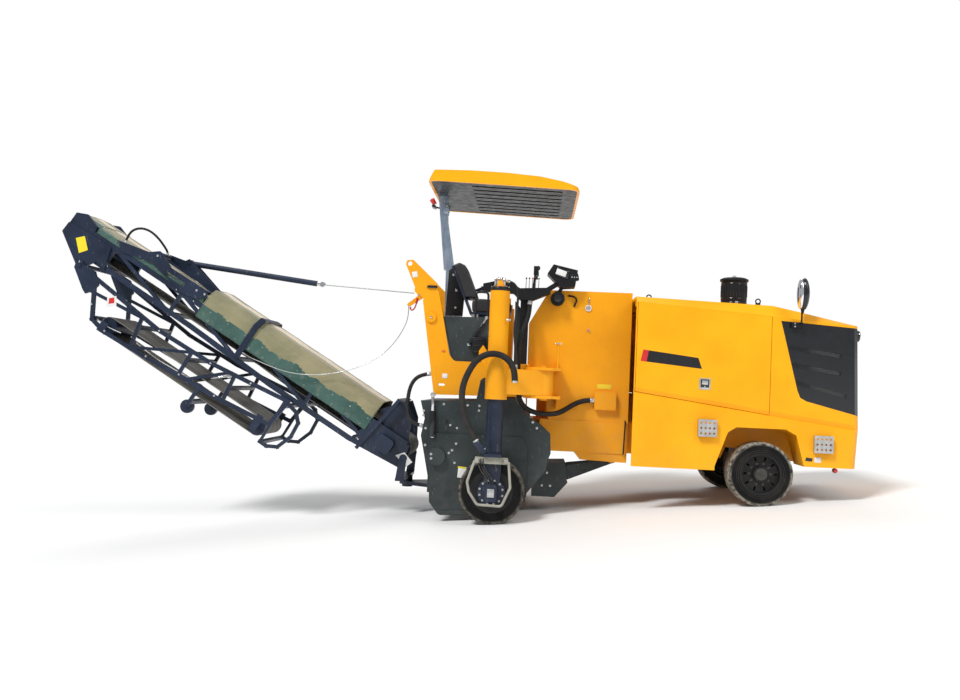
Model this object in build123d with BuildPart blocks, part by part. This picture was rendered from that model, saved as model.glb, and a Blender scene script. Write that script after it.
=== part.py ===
from build123d import *
from math import atan2, cos, degrees, hypot, pi, radians, sin, tan
import os

# Cold planer, 1 m milling width, on four solid-tyred wheels, with a folding rear conveyor.
# Millimetres. The machine is drawn level: X forward from the rear column, Y left, Z up from the plane
# under the front wheels. At the end it is set down nose low, as it parks on its raised rear legs.

# ---- driving dimensions ---------------------------------------------------------------------------
tyre_dia = 660.0
tyre_width = 250.0
rim_dia = 430.0
wheelbase = 2750.0
half_width = 1000.0
track_front = 870.0          # wheel centre from the middle of the machine
leg_lift = 265.0             # how far the parked rear legs are out
axle_height = tyre_dia / 2
rear_axle_height = axle_height - leg_lift

column_right_y = -1318.0     # right column, swung out
column_left_y = 870.0
sleeve_dia = 200.0
sleeve_collar_dia = 226.0
sleeve_bottom = 985.0
sleeve_top = 2085.0
leg_dia = 170.0
leg_fit = 1.0                # radial gap between leg and sleeve
leg_up = 265.0               # stroke back up to level
leg_down = 130.0

swing_x = 480.0              # pivot of the right wheel's swing arm
swing_y = -1100.0
swing_plate_low = 1010.0
swing_plate_high = 1330.0
swing_plate_thick = 30.0
swing_gap = 1.0

body_rear = 1418.0
body_front = 3714.0
body_bottom = 350.0
hood_rear_top = 2127.0
skin = 25.0
door_gap = 5.0
hinge_gap = 0.5
hinge_fit = 0.05

recess_y = -550.0            # wall of the bay that takes the swung-in wheel
recess_top = 2195.0

drum_x = -150.0
drum_height = 440.0
drum_tip_dia = 900.0
drum_tube_dia = 660.0
drum_width = 1000.0
drum_right = -990.0
housing_right = -1030.0
housing_left = 600.0
housing_wall = 20.0
drum_gap = 25.0
side_plate_thick = 16.0
side_plate_gap = 6.0

deck_height = 1364.0
tower_right = -900.0         # outer faces of the two tower plates
tower_left = 730.0
tower_thick = 30.0
horn_x = -997.0              # lifting eye at the tip of each rear tower
horn_z = 2390.0
horn_hole = 50.0

canopy_half_width = 900.0
canopy_wall = 28.0
canopy_corner = 130.0

slew_x = -1036.0             # upright axis that the conveyor swings about
lift_height = 272.0          # cross axis that it is raised about
belt_x = -1000.0             # where the conveyor's own lengths are counted from
belt_height = 250.0
conveyor_angle = 30.9        # rise of the parked conveyor from the level machine
frame_y = 411.0              # conveyor side frames, from its middle
frame_thick = 40.0
cheek_thick = 15.0
fold_thick = 30.0
belt_width = 650.0
belt_thick = 10.0
pulley_dia = 240.0
fold_x = -4850.0
fold_height = 2290.0
pivot_dia = 50.0
stay_x = -3740.0
stay_height = 2405.0
stay_clevis_x = -2140.0
stay_clevis_height = 2215.0
stay_anchor_height = 2155.0
stay_barrel_length = 1520.0
stay_barrel_dia = 66.0
stay_rod_dia = 36.0
stay_pin_dia = 40.0
stay_rope_dia = 14.0

# ---- travel of the moving parts -------------------------------------------------------------------
steer_angle = 28.0
slew_angle = 30.0
lift_low = -24.0
lift_high = 0.0
fold_open = 177.5
side_plate_travel = 250.0
scraper_travel = 150.0
hold_down_lift = 6.0


def side(y):
    """Plane across the machine at y, drawn in X forward and Z up; it extrudes to the right."""
    return Plane.XZ.offset(-y)


def outline(points):
    """Closed face from corner points, inside an open sketch."""
    Polygon(*points, align=None)


def bar(start, end, width):
    """Corner points of a straight bar between two points of a side view."""
    run = hypot(end[0] - start[0], end[1] - start[1])
    u, v = (end[0] - start[0]) / run * width / 2, (end[1] - start[1]) / run * width / 2
    return [(start[0] - v - u, start[1] + u - v), (end[0] - v + u, end[1] + u + v),
            (end[0] + v + u, end[1] - u + v), (start[0] + v - u, start[1] - u - v)]


# ---- conveyor frame of reference ------------------------------------------------------------------
rise = radians(conveyor_angle)


def conveyor_side(y):
    """Plane at y whose X runs up the belt and whose Y is square to it; it extrudes to the left."""
    return Plane(origin=(belt_x, y, belt_height), x_dir=(-cos(rise), 0, sin(rise)), z_dir=(0, 1, 0))


def along(distance, height=0.0, y=0.0):
    """Point on the conveyor: distance up the belt, height square to it."""
    x = belt_x - distance * cos(rise) + height * sin(rise)
    z = belt_height + distance * sin(rise) + height * cos(rise)
    return (x, y, z)


def on_belt(x, z):
    """The conveyor's own distance and height of a point of the machine."""
    return ((belt_x - x) * cos(rise) + (z - belt_height) * sin(rise),
            (x - belt_x) * sin(rise) + (z - belt_height) * cos(rise))


# planes square to the belt: X to the right, Y up from the belt; they extrude up the belt
across = dict(x_dir=(0, -1, 0), z_dir=(-cos(rise), 0, sin(rise)))
lift_point = on_belt(slew_x, lift_height)
fold_point = on_belt(fold_x, fold_height)
stay_point = on_belt(stay_x, stay_height)

pieces = []


def finish_piece(part, name):
    part.label = name
    pieces.append(part)


# ---- chassis frame --------------------------------------------------------------------------------
rail_y = 380.0
rail_bottom = 440.0
rail_height = 340.0
push_hinge_x = 1265.0        # hinge of the hold-down shoe's arms
push_hinge_z = 365.0
push_arms = (-450.0, -60.0)
with BuildPart() as chassis_frame:
    for y in (-rail_y, rail_y):
        with BuildSketch(side(y + 20)):
            outline([(350, rail_bottom), (2450, rail_bottom), (2500, rail_bottom + 120),
                     (3000, rail_bottom + 120), (3050, rail_bottom), (3560, rail_bottom),
                     (3560, rail_bottom + rail_height), (350, rail_bottom + rail_height)])
        extrude(amount=40)
    for x, low in ((370, 0), (1390, 0), (3540, 0)):
        with Locations((x, 0, rail_bottom + (rail_height + low) / 2)):
            Box(40, 2 * rail_y, rail_height - low)
    # bolster that carries the front axle's pin
    with Locations((wheelbase, 0, rail_bottom + 150)):
        Box(260, 2 * rail_y, 60)
    # wall of the wheel bay
    with BuildSketch(side(recess_y + skin)):
        outline([(526, 822), (908, 360), (body_rear - 2, 345), (body_rear - 2, recess_top),
                 (510, recess_top), (300, 1820), (300, 1000), (526, 1000)])
    extrude(amount=skin)
    # hose cover on the wall
    with BuildSketch(side(recess_y)):
        with Locations((1160, 1008)):
            RectangleRounded(235, 197, 20)
    extrude(amount=60)
    # carrier from the rails to the bay wall
    with Locations((930, (recess_y - rail_y) / 2, rail_bottom + rail_height / 2)):
        Box(940, abs(recess_y - -rail_y) + 20, rail_height)
    # box of the body in front of the operator, closed on the left and on top
    with BuildSketch(side(half_width)):
        outline([(420, 640), (body_rear - 2, 640), (body_rear - 2, recess_top), (510, recess_top),
                 (420, 2040)])
    extrude(amount=skin)
    with Locations(((510 + body_rear) / 2, (half_width + recess_y) / 2, recess_top - skin / 2)):
        Box(body_rear - 512, half_width - recess_y, skin)
    with Locations((body_rear - 2 - skin / 2, (half_width + recess_y) / 2, 1200)):
        Box(skin, half_width - recess_y, 1100)
    with Locations(((460 + body_rear) / 2, half_width / 2, 660)):
        Box(body_rear - 462, half_width - 2, skin)
    # cross member with the forks of the push arms
    with Locations((push_hinge_x, (push_arms[0] + push_arms[1]) / 2, rail_bottom + 20)):
        Box(130, push_arms[1] - push_arms[0] + 120, 40)
    for arm_y in push_arms:
        for y in (arm_y - 32, arm_y + 32):
            with BuildSketch(side(y + 10)):
                outline([(push_hinge_x - 62, rail_bottom), (push_hinge_x + 62, rail_bottom),
                         (push_hinge_x + 30, push_hinge_z - 30), (push_hinge_x - 30, push_hinge_z - 30)])
            extrude(amount=20)
        with BuildSketch(side(arm_y + 45)):
            with Locations((push_hinge_x, push_hinge_z)):
                Circle(20)
        extrude(amount=90)
finish_piece(chassis_frame.part, "chassis_frame")

# ---- body shell -----------------------------------------------------------------------------------
stack_x = 2557.0
stack_y = -300.0
stack_pipe_dia = 240.0
stack_fit = 0.5
arch = [(2275, 350), (2275, 395), (2400, 747), (2485, 803), (2990, 803), (3095, 745), (3180, 430)]
hood = [(body_rear, hood_rear_top), (2840, 2082), (3100, 2030), (3690, 1905)]
shoulder = [(body_rear, 2066), (2840, 1962), (3100, 1940), (3760, 1888)]   # where the hood's slope begins
crease = [(body_rear, 1122), (2106, 1032), (2845, 932), (3760, 814)]       # groove between hood and skirt
crease_rise = 54.0
crease_depth = 16.0
seam_x = 2820.0
grille_shape = [(2904, 1922), (3760, 1866), (3760, 960), (3184, 1101), (3120, 1135), (3089, 1210)]
louvres = [((3010, 1650), (3500, 1580)), ((3040, 1470), (3500, 1400)), ((3075, 1290), (3560, 1170))]
step_pads = [(2183, 782), (3360, 668)]
step_size = (190.0, 176.0)


def shifted(points, dx, dz):
    return [(x + dx, z + dz) for x, z in points]


with BuildPart() as shell:
    with BuildSketch(side(half_width)):
        outline([(body_rear, body_bottom)] + arch + [(body_front - 12, 430), (body_front + 12, 845),
                (body_front + 6, 972)] + hood[::-1])
    extrude(amount=2 * half_width)
    nose = shell.edges().filter_by(Axis.Y, reverse=True).filter_by(
        lambda e: e.center().X > body_front - 40 and abs(abs(e.center().Y) - half_width) < 1)
    chamfer(nose, length=45)
    for s in (-1, 1):
        # slope between the hood's top and its side
        with BuildSketch(side(s * (half_width + 1))):
            outline(shifted(shoulder[:1], -1, 0) + shoulder[1:] + [(3760, 2300), (body_rear - 1, 2300)])
        with BuildSketch(side(s * (half_width - 100))):
            outline([(body_rear - 1, hood_rear_top + 1), (2840, 2083), (3100, 2031), (3760, 1891),
                     (3760, 2300), (body_rear - 1, 2300)])
        loft(ruled=True, mode=Mode.SUBTRACT)
        # groove along the side
        low = [(body_rear - 1, crease[0][1])] + crease[1:]
        with BuildSketch(side(s * (half_width + 1))):
            outline(shifted(low, 0, crease_rise) + shifted(low, 0, -6)[::-1])
        with BuildSketch(side(s * (half_width - crease_depth))):
            outline(shifted(low, 0, 4) + low[::-1])
        loft(ruled=True, mode=Mode.SUBTRACT)
    # inside of the hood, below and above the shoulder
    for half, top in ((half_width - skin, shifted(shoulder[:3], 0, -45) + [(body_front - 60, 1840)]),
                      (half_width - 140, shifted(hood[:3], 0, -30) + [(body_front - 60, 1870)])):
        with BuildSketch(side(half)):
            outline([(body_rear - 1, body_bottom - 1), (2267, body_bottom - 1), (2267, 397), (2393, 754),
                     (2482, 811), (2993, 811), (3102, 750), (3188, 432), (3188, 420),
                     (body_front - 40, 420), (body_front - 18, 900)]
                    + shifted(top[3:], 0, 0) + top[2:0:-1] + [(body_rear - 1, top[0][1])])
        extrude(amount=2 * half, mode=Mode.SUBTRACT)

door_rear = body_rear + 12
door_front = seam_x - 4
slope_top = (shoulder[1][1] - shoulder[0][1]) / (shoulder[1][0] - shoulder[0][0])
door_top_rear = (door_rear, shoulder[0][1] + slope_top * (door_rear - body_rear) - 4)
door_top_front = (door_front, shoulder[0][1] + slope_top * (door_front - body_rear) - 4)
door_shape = [(door_rear, crease[0][1] + 1), (crease[1][0], crease[1][1] + 2),
              (door_front, crease[2][1] + 7), door_top_front, door_top_rear]


def inset(points, gap, top_gap):
    """The door's own outline, a gap smaller than its opening; the last two points are its hinge line."""
    (ax, az), (bx, bz), (cx, cz), (dx, dz), (ex, ez) = points
    return [(ax + gap, az + gap), (bx, bz + gap), (cx - gap, cz + gap), (dx - gap, dz - top_gap),
            (ex + gap, ez - top_gap)]


with BuildPart() as body_shell:
    add(shell.part)
    for s in (-1, 1):
        for shape, depth in ((door_shape, skin), (grille_shape, 100)):
            with BuildSketch(side(s * half_width + (depth if s < 0 else 2))):
                outline(shape)
            extrude(amount=depth + 2, mode=Mode.SUBTRACT)
    # room for the front axle between the wheels
    with Locations((2725, 0, 600)):
        Box(1050, 1240, 620, mode=Mode.SUBTRACT)
    with Locations((stack_x, stack_y, 2080)):
        Cylinder(stack_pipe_dia / 2 + stack_fit, 200, mode=Mode.SUBTRACT)
finish_piece(body_shell.part, "body_shell")

# ---- service doors, cut from the same shell --------------------------------------------------------
for tag, s in (("right", -1), ("left", 1)):
    with BuildPart() as door:
        add(shell.part)
        with BuildSketch(side(s * half_width + (skin if s < 0 else 2))):
            outline(inset(door_shape, door_gap, hinge_gap))
        extrude(amount=skin + 2, mode=Mode.INTERSECT)
    finish_piece(door.part, f"door_{tag}")

# ---- nose grilles ---------------------------------------------------------------------------------
with BuildPart() as nose_grilles:
    add(shell.part)
    with BuildSketch(side(half_width + 1)):
        outline(grille_shape)
    extrude(amount=2 * half_width + 2, mode=Mode.INTERSECT)
    with Locations((3300, 0, 1400)):
        Box(1000, 2 * (half_width - 100), 1200, mode=Mode.SUBTRACT)
    for s in (-1, 1):
        with BuildSketch(side(s * half_width + (8 if s < 0 else 0))):
            for start, end in louvres:
                outline(bar(start, end, 46))
        extrude(amount=8, mode=Mode.SUBTRACT)
finish_piece(nose_grilles.part, "nose_grilles")

# ---- steps on the skirts, mirror -------------------------------------------------------------------
with BuildPart() as step_plates:
    for s in (-1, 1):
        for x, z in step_pads:
            with Locations((x, s * (half_width + 50), z)):
                Box(step_size[0], 8, step_size[1])
                with GridLocations(44, 0, 4, 1):
                    for dz in (-54, 0, 54):
                        with Locations((0, 0, dz)):
                            Box(20, 20, 20, rotation=(0, 45, 0), mode=Mode.SUBTRACT)
            for dx in (-step_size[0] / 2 + 4, step_size[0] / 2 - 4):
                with Locations((x + dx, s * (half_width + 23.15), z)):
                    Box(8, 45.7, step_size[1])
finish_piece(step_plates.part, "step_plates")

mirror_x = 3088.0
with BuildPart() as mirror_right:
    with Locations((mirror_x - 30, -half_width - 30, 1880)):
        Box(120, 59.4, 60)
    with Locations((mirror_x, -half_width - 60, 1960)):
        Cylinder(9, 220)
    with BuildSketch(Plane.YZ.offset(mirror_x - 40)):
        with Locations((-half_width - 110, 2195)):
            Ellipse(84, 165)
    extrude(amount=70)
finish_piece(mirror_right.part, "mirror_right")

# ---- engine, stack --------------------------------------------------------------------------------
with BuildPart() as engine_block:
    with Locations((2150, 0, rail_bottom + rail_height + 450)):
        Box(1200, 2 * rail_y, 900)
finish_piece(engine_block.part, "engine_block")

with BuildPart() as intake_stack:
    with BuildSketch(side(stack_y)) as stack_half:
        outline([(stack_x, 2040), (stack_x + stack_pipe_dia / 2, 2040), (stack_x + stack_pipe_dia / 2, 2122),
                 (stack_x + 140, 2122), (stack_x + 140, 2385), (stack_x + 154, 2392),
                 (stack_x + 154, 2415), (stack_x + 120, 2430), (stack_x, 2436)])
    revolve(axis=Axis((stack_x, stack_y, 0), (0, 0, 1)))
finish_piece(intake_stack.part, "intake_stack")

# ---- front axle, knuckles, wheels -----------------------------------------------------------------
kingpin_y = 690.0
kingpin_dia = 40.0
with BuildPart() as front_axle:
    with Locations((wheelbase, 0, axle_height + 60)):
        Box(150, 2 * kingpin_y - 170, 130)
    with Locations((wheelbase, 0, axle_height + 170)):
        Box(200, 300, 120)
    for y in (-kingpin_y, kingpin_y):
        inward = -52 if y > 0 else 52
        for z in (axle_height - 75, axle_height + 75):
            with Locations((wheelbase, y + inward, z)):
                Box(90, 104, 36)
            with Locations((wheelbase, y, z)):
                Cylinder(45, 36)
        with Locations((wheelbase, y, axle_height)):
            Cylinder(kingpin_dia / 2, 150)
        with Locations((wheelbase, y + (-85 if y > 0 else 85), axle_height)):
            Box(130, 40, 150)
finish_piece(front_axle.part, "front_axle")

for tag, s in (("right", -1), ("left", 1)):
    with BuildPart() as knuckle:
        with Locations((wheelbase, s * kingpin_y, axle_height)):
            Cylinder(45, 113.4)
        with Locations((wheelbase, s * (kingpin_y + 33), axle_height)):
            Box(84, 36, 84)
        with BuildSketch(side(s * (kingpin_y + 45))):
            with Locations((wheelbase, axle_height)):
                Circle(40)
        extrude(amount=-s * 110)
        with Locations((wheelbase, s * kingpin_y, axle_height)):
            Hole(kingpin_dia / 2 + hinge_fit)
    finish_piece(knuckle.part, f"knuckle_{tag}")


def wheel_pair(x, y, z, s, spindle_radius, depth, slots=0):
    """Rim and tyre with the dished face towards s; the rim has a blind bore on its other side."""
    with BuildPart() as rim:
        with BuildSketch(side(y + tyre_width / 2)):
            with Locations((x, z)):
                Circle(rim_dia / 2)
        extrude(amount=tyre_width)
        with BuildSketch(side(y + s * tyre_width / 2)):
            with Locations((x, z)):
                Circle(rim_dia / 2 - 22)
                Circle(78, mode=Mode.SUBTRACT)
        extrude(amount=s * 55, mode=Mode.SUBTRACT)
        if slots:
            with BuildSketch(side(y - s * tyre_width / 2)):
                with Locations((x, z)):
                    Circle(rim_dia / 2 - 22)
                    Circle(85, mode=Mode.SUBTRACT)
            extrude(amount=-s * 155, mode=Mode.SUBTRACT)
            with BuildSketch(side(y + s * tyre_width / 2)):
                with Locations((x, z)):
                    with PolarLocations(rim_dia * 0.37, slots):
                        Rectangle(44, 20)
            extrude(amount=s * (tyre_width - 100), mode=Mode.SUBTRACT)
        with BuildSketch(side(y - s * tyre_width / 2)):
            with Locations((x, z)):
                Circle(spindle_radius)
        extrude(amount=-s * depth, mode=Mode.SUBTRACT)
    with BuildPart() as tyre:
        with BuildSketch(side(y + tyre_width / 2)):
            with Locations((x, z)):
                Circle(tyre_dia / 2)
                Circle(rim_dia / 2, mode=Mode.SUBTRACT)
        extrude(amount=tyre_width)
        shoulders = tyre.edges().filter_by(GeomType.CIRCLE).filter_by(lambda e: e.radius > rim_dia / 2 + 1)
        chamfer(shoulders, length=16)
    return rim.part, tyre.part


for tag, s in (("right", -1), ("left", 1)):
    rim, tyre = wheel_pair(wheelbase, s * track_front, axle_height, s, 40 + hinge_fit, 100, slots=10)
    finish_piece(rim, f"front_rim_{tag}")
    finish_piece(tyre, f"front_tyre_{tag}")

# ---- rear columns ---------------------------------------------------------------------------------
base = (Align.CENTER, Align.CENTER, Align.MIN)
collar_height = 420.0
motor_dia = 220.0
motor_room = 30.0            # leg plate from the side of the tyre


def sleeve(x, y):
    """Yellow tube that guides a lifting leg, with its cylinder's end on top, added to the open part."""
    with Locations((x, y, sleeve_bottom)):
        Cylinder(sleeve_collar_dia / 2, collar_height, align=base)
        Cylinder(sleeve_dia / 2, sleeve_top - sleeve_bottom, align=base)
    with Locations((x, y, sleeve_top)):
        Cylinder(76, 48, align=base)
        Cylinder(52, 130, align=base)


def sleeve_bore(x, y):
    with Locations((x, y, sleeve_bottom)):
        Cylinder(leg_dia / 2 + leg_fit, sleeve_top - sleeve_bottom - 15, align=base, mode=Mode.SUBTRACT)


swing_mid = (swing_plate_low + swing_plate_high) / 2
with BuildPart() as swing_arm:
    sleeve(0, column_right_y)
    with BuildSketch(Plane.XY.offset(swing_plate_low + swing_plate_thick + swing_gap)):
        outline([(0, column_right_y - 90), (swing_x, swing_y - 100), (swing_x, swing_y + 100),
                 (0, column_right_y + 90)])
        with Locations((swing_x, swing_y)):
            Circle(100)
    extrude(amount=swing_plate_high - swing_plate_low - 2 * swing_plate_thick - 2 * swing_gap)
    # rib below the collar and hose lug beside it
    with BuildSketch(side(column_right_y + 12)):
        outline([(60, 1299), (200, 1299), (60, 1420)])
        outline([(-190, 1376), (-190, 1470), (-150, 1530), (-60, 1400), (-60, 1320), (-114, 1327)])
    extrude(amount=24)
    sleeve_bore(0, column_right_y)
    with Locations((swing_x, swing_y, swing_mid)):
        Hole(40 + hinge_fit, depth=600)
finish_piece(swing_arm.part, "swing_arm")

bracket_nose = 655.0
with BuildPart() as swing_bracket:
    for z in (swing_plate_low, swing_plate_high - swing_plate_thick):
        with BuildSketch(Plane.XY.offset(z)):
            outline([(275, recess_y), (275, swing_y - 60), (360, swing_y - 130), (560, swing_y - 130),
                     (bracket_nose, swing_y - 60), (bracket_nose, recess_y)])
        extrude(amount=swing_plate_thick)
    with Locations((swing_x - 60, recess_y - 70, swing_mid)):
        Box(230, 140, swing_plate_high - swing_plate_low)
    with Locations((swing_x, swing_y, swing_mid)):
        Cylinder(40, swing_plate_high - swing_plate_low + 40)
    # gussets under and over the plates
    for x in (300, 620):
        with BuildSketch(Plane.YZ.offset(x)):
            outline([(recess_y, swing_plate_low), (recess_y, swing_plate_low - 110), (recess_y - 240, swing_plate_low)])
            outline([(recess_y, swing_plate_high), (recess_y, swing_plate_high + 90), (recess_y - 200, swing_plate_high)])
        extrude(amount=14)
    # locking pin with its cross handle
    with Locations((667 - 45, -940, swing_plate_high)):
        Cylinder(13, 262, align=base)
    with Locations((667 - 45, -940, 1592)):
        Box(100, 30, 26, align=base)
finish_piece(swing_bracket.part, "swing_bracket")

with BuildPart() as sleeve_left:
    sleeve(0, column_left_y)
    with Locations((0, (tower_left + column_left_y) / 2, 1180)):
        Box(200, column_left_y - tower_left, 300)
    sleeve_bore(0, column_left_y)
finish_piece(sleeve_left.part, "sleeve_left")


def leg(y):
    """Sliding leg over its wheel, with the wheel motor on the right of the tyre."""
    plate_y = y - tyre_width / 2 - motor_room
    with BuildPart() as tube:
        with BuildSketch(Plane.XY.offset(rear_axle_height + 360)):
            with Locations((0, y)):
                Circle(leg_dia / 2)
        extrude(amount=1300 - leg_lift)
        with BuildSketch(side(plate_y + 18)):
            outline([(-90, rear_axle_height + 380), (-90, rear_axle_height + 200),
                     (-70, rear_axle_height), (70, rear_axle_height), (90, rear_axle_height + 200),
                     (90, rear_axle_height + 380)])
            with Locations((0, rear_axle_height)):
                Circle(motor_dia / 2 + 30)
        extrude(amount=36)
        with Locations((0, (y + plate_y) / 2, rear_axle_height + 365)):
            Box(180, y - plate_y + leg_dia, 30)
        # motor into the rim, and its housing outside
        with BuildSketch(side(plate_y + 10)):
            with Locations((0, rear_axle_height)):
                Circle(motor_dia / 2)
        extrude(amount=-105)
        with BuildSketch(side(plate_y - 18)):
            with Locations((0, rear_axle_height)):
                RectangleRounded(118, 172, 30)
        extrude(amount=84)
    return tube.part


# socket of the hose that loops round the right column
hose_end = (-165.0, -1492.0, 560.0)
hose_drop = (90.0, 0.0, -131.0)
for tag, y in (("right", column_right_y), ("left", column_left_y)):
    lifting_leg = leg(y)
    if tag == "right":
        with BuildPart() as gland:
            add(lifting_leg)
            with BuildSketch(Plane(origin=hose_end, z_dir=hose_drop)):
                Circle(36)
            extrude(amount=140)
        lifting_leg = gland.part
    finish_piece(lifting_leg, f"leg_{tag}")
    rim, tyre = wheel_pair(0, y, rear_axle_height, 1, motor_dia / 2 + hinge_fit, 90)
    finish_piece(rim, f"rear_rim_{tag}")
    finish_piece(tyre, f"rear_tyre_{tag}")

# bar with the hoop that guards the swung-out wheel's motor
guard_y = column_right_y - tyre_width / 2 - motor_room - 18
guard_z = rear_axle_height + 314
hoop = [(-170, guard_y - 88, guard_z), (-236, guard_y - 88, 168), (-215, guard_y - 88, 70),
        (-130, guard_y - 88, -52), (110, guard_y - 88, -60), (190, guard_y - 88, 127),
        (165, guard_y - 88, guard_z)]
with BuildPart() as guard_bar:
    with Locations((-8, guard_y - 15.2, guard_z)):
        Box(326, 30, 66)
    for x in (-150, 140):
        with Locations((x, guard_y - 50, guard_z)):
            Box(40, 100, 40)
    with BuildLine() as hoop_line:
        FilletPolyline(*hoop, radius=45)
    with BuildSketch(Plane(origin=hoop[0], z_dir=hoop_line.wires()[0] % 0)):
        Circle(13)
    sweep(path=hoop_line.wires()[0])
finish_piece(guard_bar.part, "guard_bar")

# ---- drum housing, drum, side plate, scraper -------------------------------------------------------
chamber_rear = -650.0
housing_shape = [(-798, 934), (-748, 748), (-781, 569), (-735, 360), (-690, 150), (-690, -20), (350, -20),
                 (350, 806), (170, 1000), (-211, 1000), (-214, 955)]
hump = [(-214, 950), (-196, 1065), (-179, 1171), (-145, 1200), (-107, 1205), (-51, 1124), (-45, 950)]
front_wing = [(329, -10), (540, 262), (554, 358), (585, 443), (572, 650), (457, 752), (340, 808)]
chamber_left = drum_right + drum_width + drum_gap
chamber_right = drum_right - drum_gap + 10
with BuildPart() as drum_housing:
    with BuildSketch(side(housing_left)):
        outline(housing_shape)
    extrude(amount=housing_left - housing_right)
    with BuildSketch(side(housing_right + housing_wall)):
        outline(hump)
        outline(front_wing)
    extrude(amount=housing_wall)
    with BuildSketch(side(chamber_left)):
        with Locations((drum_x, drum_height)):
            Circle(drum_tip_dia / 2 + drum_gap)
        with Locations(((chamber_rear + drum_x + drum_tip_dia / 2 + drum_gap) / 2, drum_height - 300)):
            Rectangle(drum_x + drum_tip_dia / 2 + drum_gap - chamber_rear, 600)
    extrude(amount=chamber_left - chamber_right, mode=Mode.SUBTRACT)
    with BuildSketch(side(chamber_left + 100)):
        with Locations((drum_x, drum_height)):
            Circle(120 + hinge_fit)
    extrude(amount=200, mode=Mode.SUBTRACT)
    # room for the drive, open below
    with Locations((drum_x, (chamber_left + housing_left) / 2, 300)):
        Box(800, housing_left - chamber_left - 2 * housing_wall, 1100, mode=Mode.SUBTRACT)
    # discharge window to the conveyor
    with Locations((-700, drum_right + drum_width / 2, 430)):
        Box(400, 560, 420, mode=Mode.SUBTRACT)
    # guides of the side plate
    for x in (-530, 230):
        with Locations((x, housing_right - (side_plate_gap - 0.3) / 2, 400)):
            Box(60, side_plate_gap - 0.3, 700)
finish_piece(drum_housing.part, "drum_housing")

# picks stand in two spirals that run from the ends of the drum to its middle
picks_each_side = 24
pick_step = 30.0             # turn from one pick to the next
holder_height = 70.0
pick_lean = 12.0
with BuildPart() as pick:
    with BuildSketch(Plane.XZ.offset(-17)):
        outline([(-44, drum_tube_dia / 2 - 6), (40, drum_tube_dia / 2 - 6), (26, drum_tube_dia / 2 + 50),
                 (-14, drum_tube_dia / 2 + holder_height), (-38, drum_tube_dia / 2 + holder_height - 14)])
    extrude(amount=34)
    tool = Plane(origin=(-18, 0, drum_tube_dia / 2 + holder_height - 12), z_dir=(-0.25, 0, 1))
    with BuildSketch(tool):
        RegularPolygon(15, 6)
    extrude(amount=(drum_tip_dia - drum_tube_dia) / 2 - holder_height + 8, taper=pick_lean)
with BuildPart() as milling_drum:
    with BuildSketch(side(drum_right + drum_width)):
        with Locations((drum_x, drum_height)):
            Circle(drum_tube_dia / 2)
    extrude(amount=drum_width)
    with BuildSketch(side(drum_right + drum_width + 100)):
        with Locations((drum_x, drum_height)):
            Circle(120)
    extrude(amount=100)
    pitch_y = (drum_width / 2 - 20) / picks_each_side
    spiral = []
    for s in (-1, 1):
        for i in range(picks_each_side):
            y = drum_right + drum_width / 2 + s * (10 + pitch_y * (i + 0.5))
            turn = i * pick_step + (180 if i % 2 else 0) + (15 if s > 0 else 0)
            spiral.append(pick.part.moved(Location((drum_x, y, drum_height), (0, turn, 0))))
    add(spiral)
finish_piece(milling_drum.part, "milling_drum")

side_plate_y = housing_right - side_plate_gap
with BuildPart() as side_plate:
    with BuildSketch(side(side_plate_y)) as plate:
        outline([(-700, 560), (-620, 600), (280, 600), (340, 500), (340, -60), (240, -200),
                 (-560, -250), (-660, -120)])
        fillet(plate.vertices().group_by(Axis.Y)[0], 60)
    extrude(amount=side_plate_thick)
    # runner along the lower edge, and the work lamp's housing
    with BuildSketch(side(side_plate_y - side_plate_thick)):
        outline(bar((-520, -218), (230, -180), 40))
    extrude(amount=14)
    with BuildSketch(side(side_plate_y - side_plate_thick)):
        with Locations((-600, 360)):
            Circle(92)
    extrude(amount=56)
finish_piece(side_plate.part, "side_plate_right")

with BuildPart() as scraper:
    with Locations((chamber_rear + 8.3, drum_right + drum_width / 2, 70)):
        Box(16, drum_width - 20, 260)
finish_piece(scraper.part, "scraper")

# ---- hold-down shoe ahead of the drum --------------------------------------------------------------
shoe_right = -560.0
with BuildPart() as hold_down:
    with BuildSketch(side(drum_right + drum_width)):
        outline([(400, 30), (552, 308), (759, 318), (777, 145), (790, 102), (650, -61), (400, -61)])
        outline([(470, 60), (580, 268), (700, 275), (720, 130), (720, 100), (630, 0), (470, 0)])
    extrude(amount=drum_right + drum_width - shoe_right)
    for arm_y in push_arms:
        with BuildSketch(side(arm_y + 20)):
            outline([(700, 190), (785, 285), (1177, 340), (push_hinge_x, push_hinge_z + 38),
                     (push_hinge_x + 10, push_hinge_z - 34), (790, 127)])
            with Locations((push_hinge_x, push_hinge_z)):
                Circle(38)
                Circle(20 + hinge_fit, mode=Mode.SUBTRACT)
        extrude(amount=40)
finish_piece(hold_down.part, "hold_down")

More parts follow.
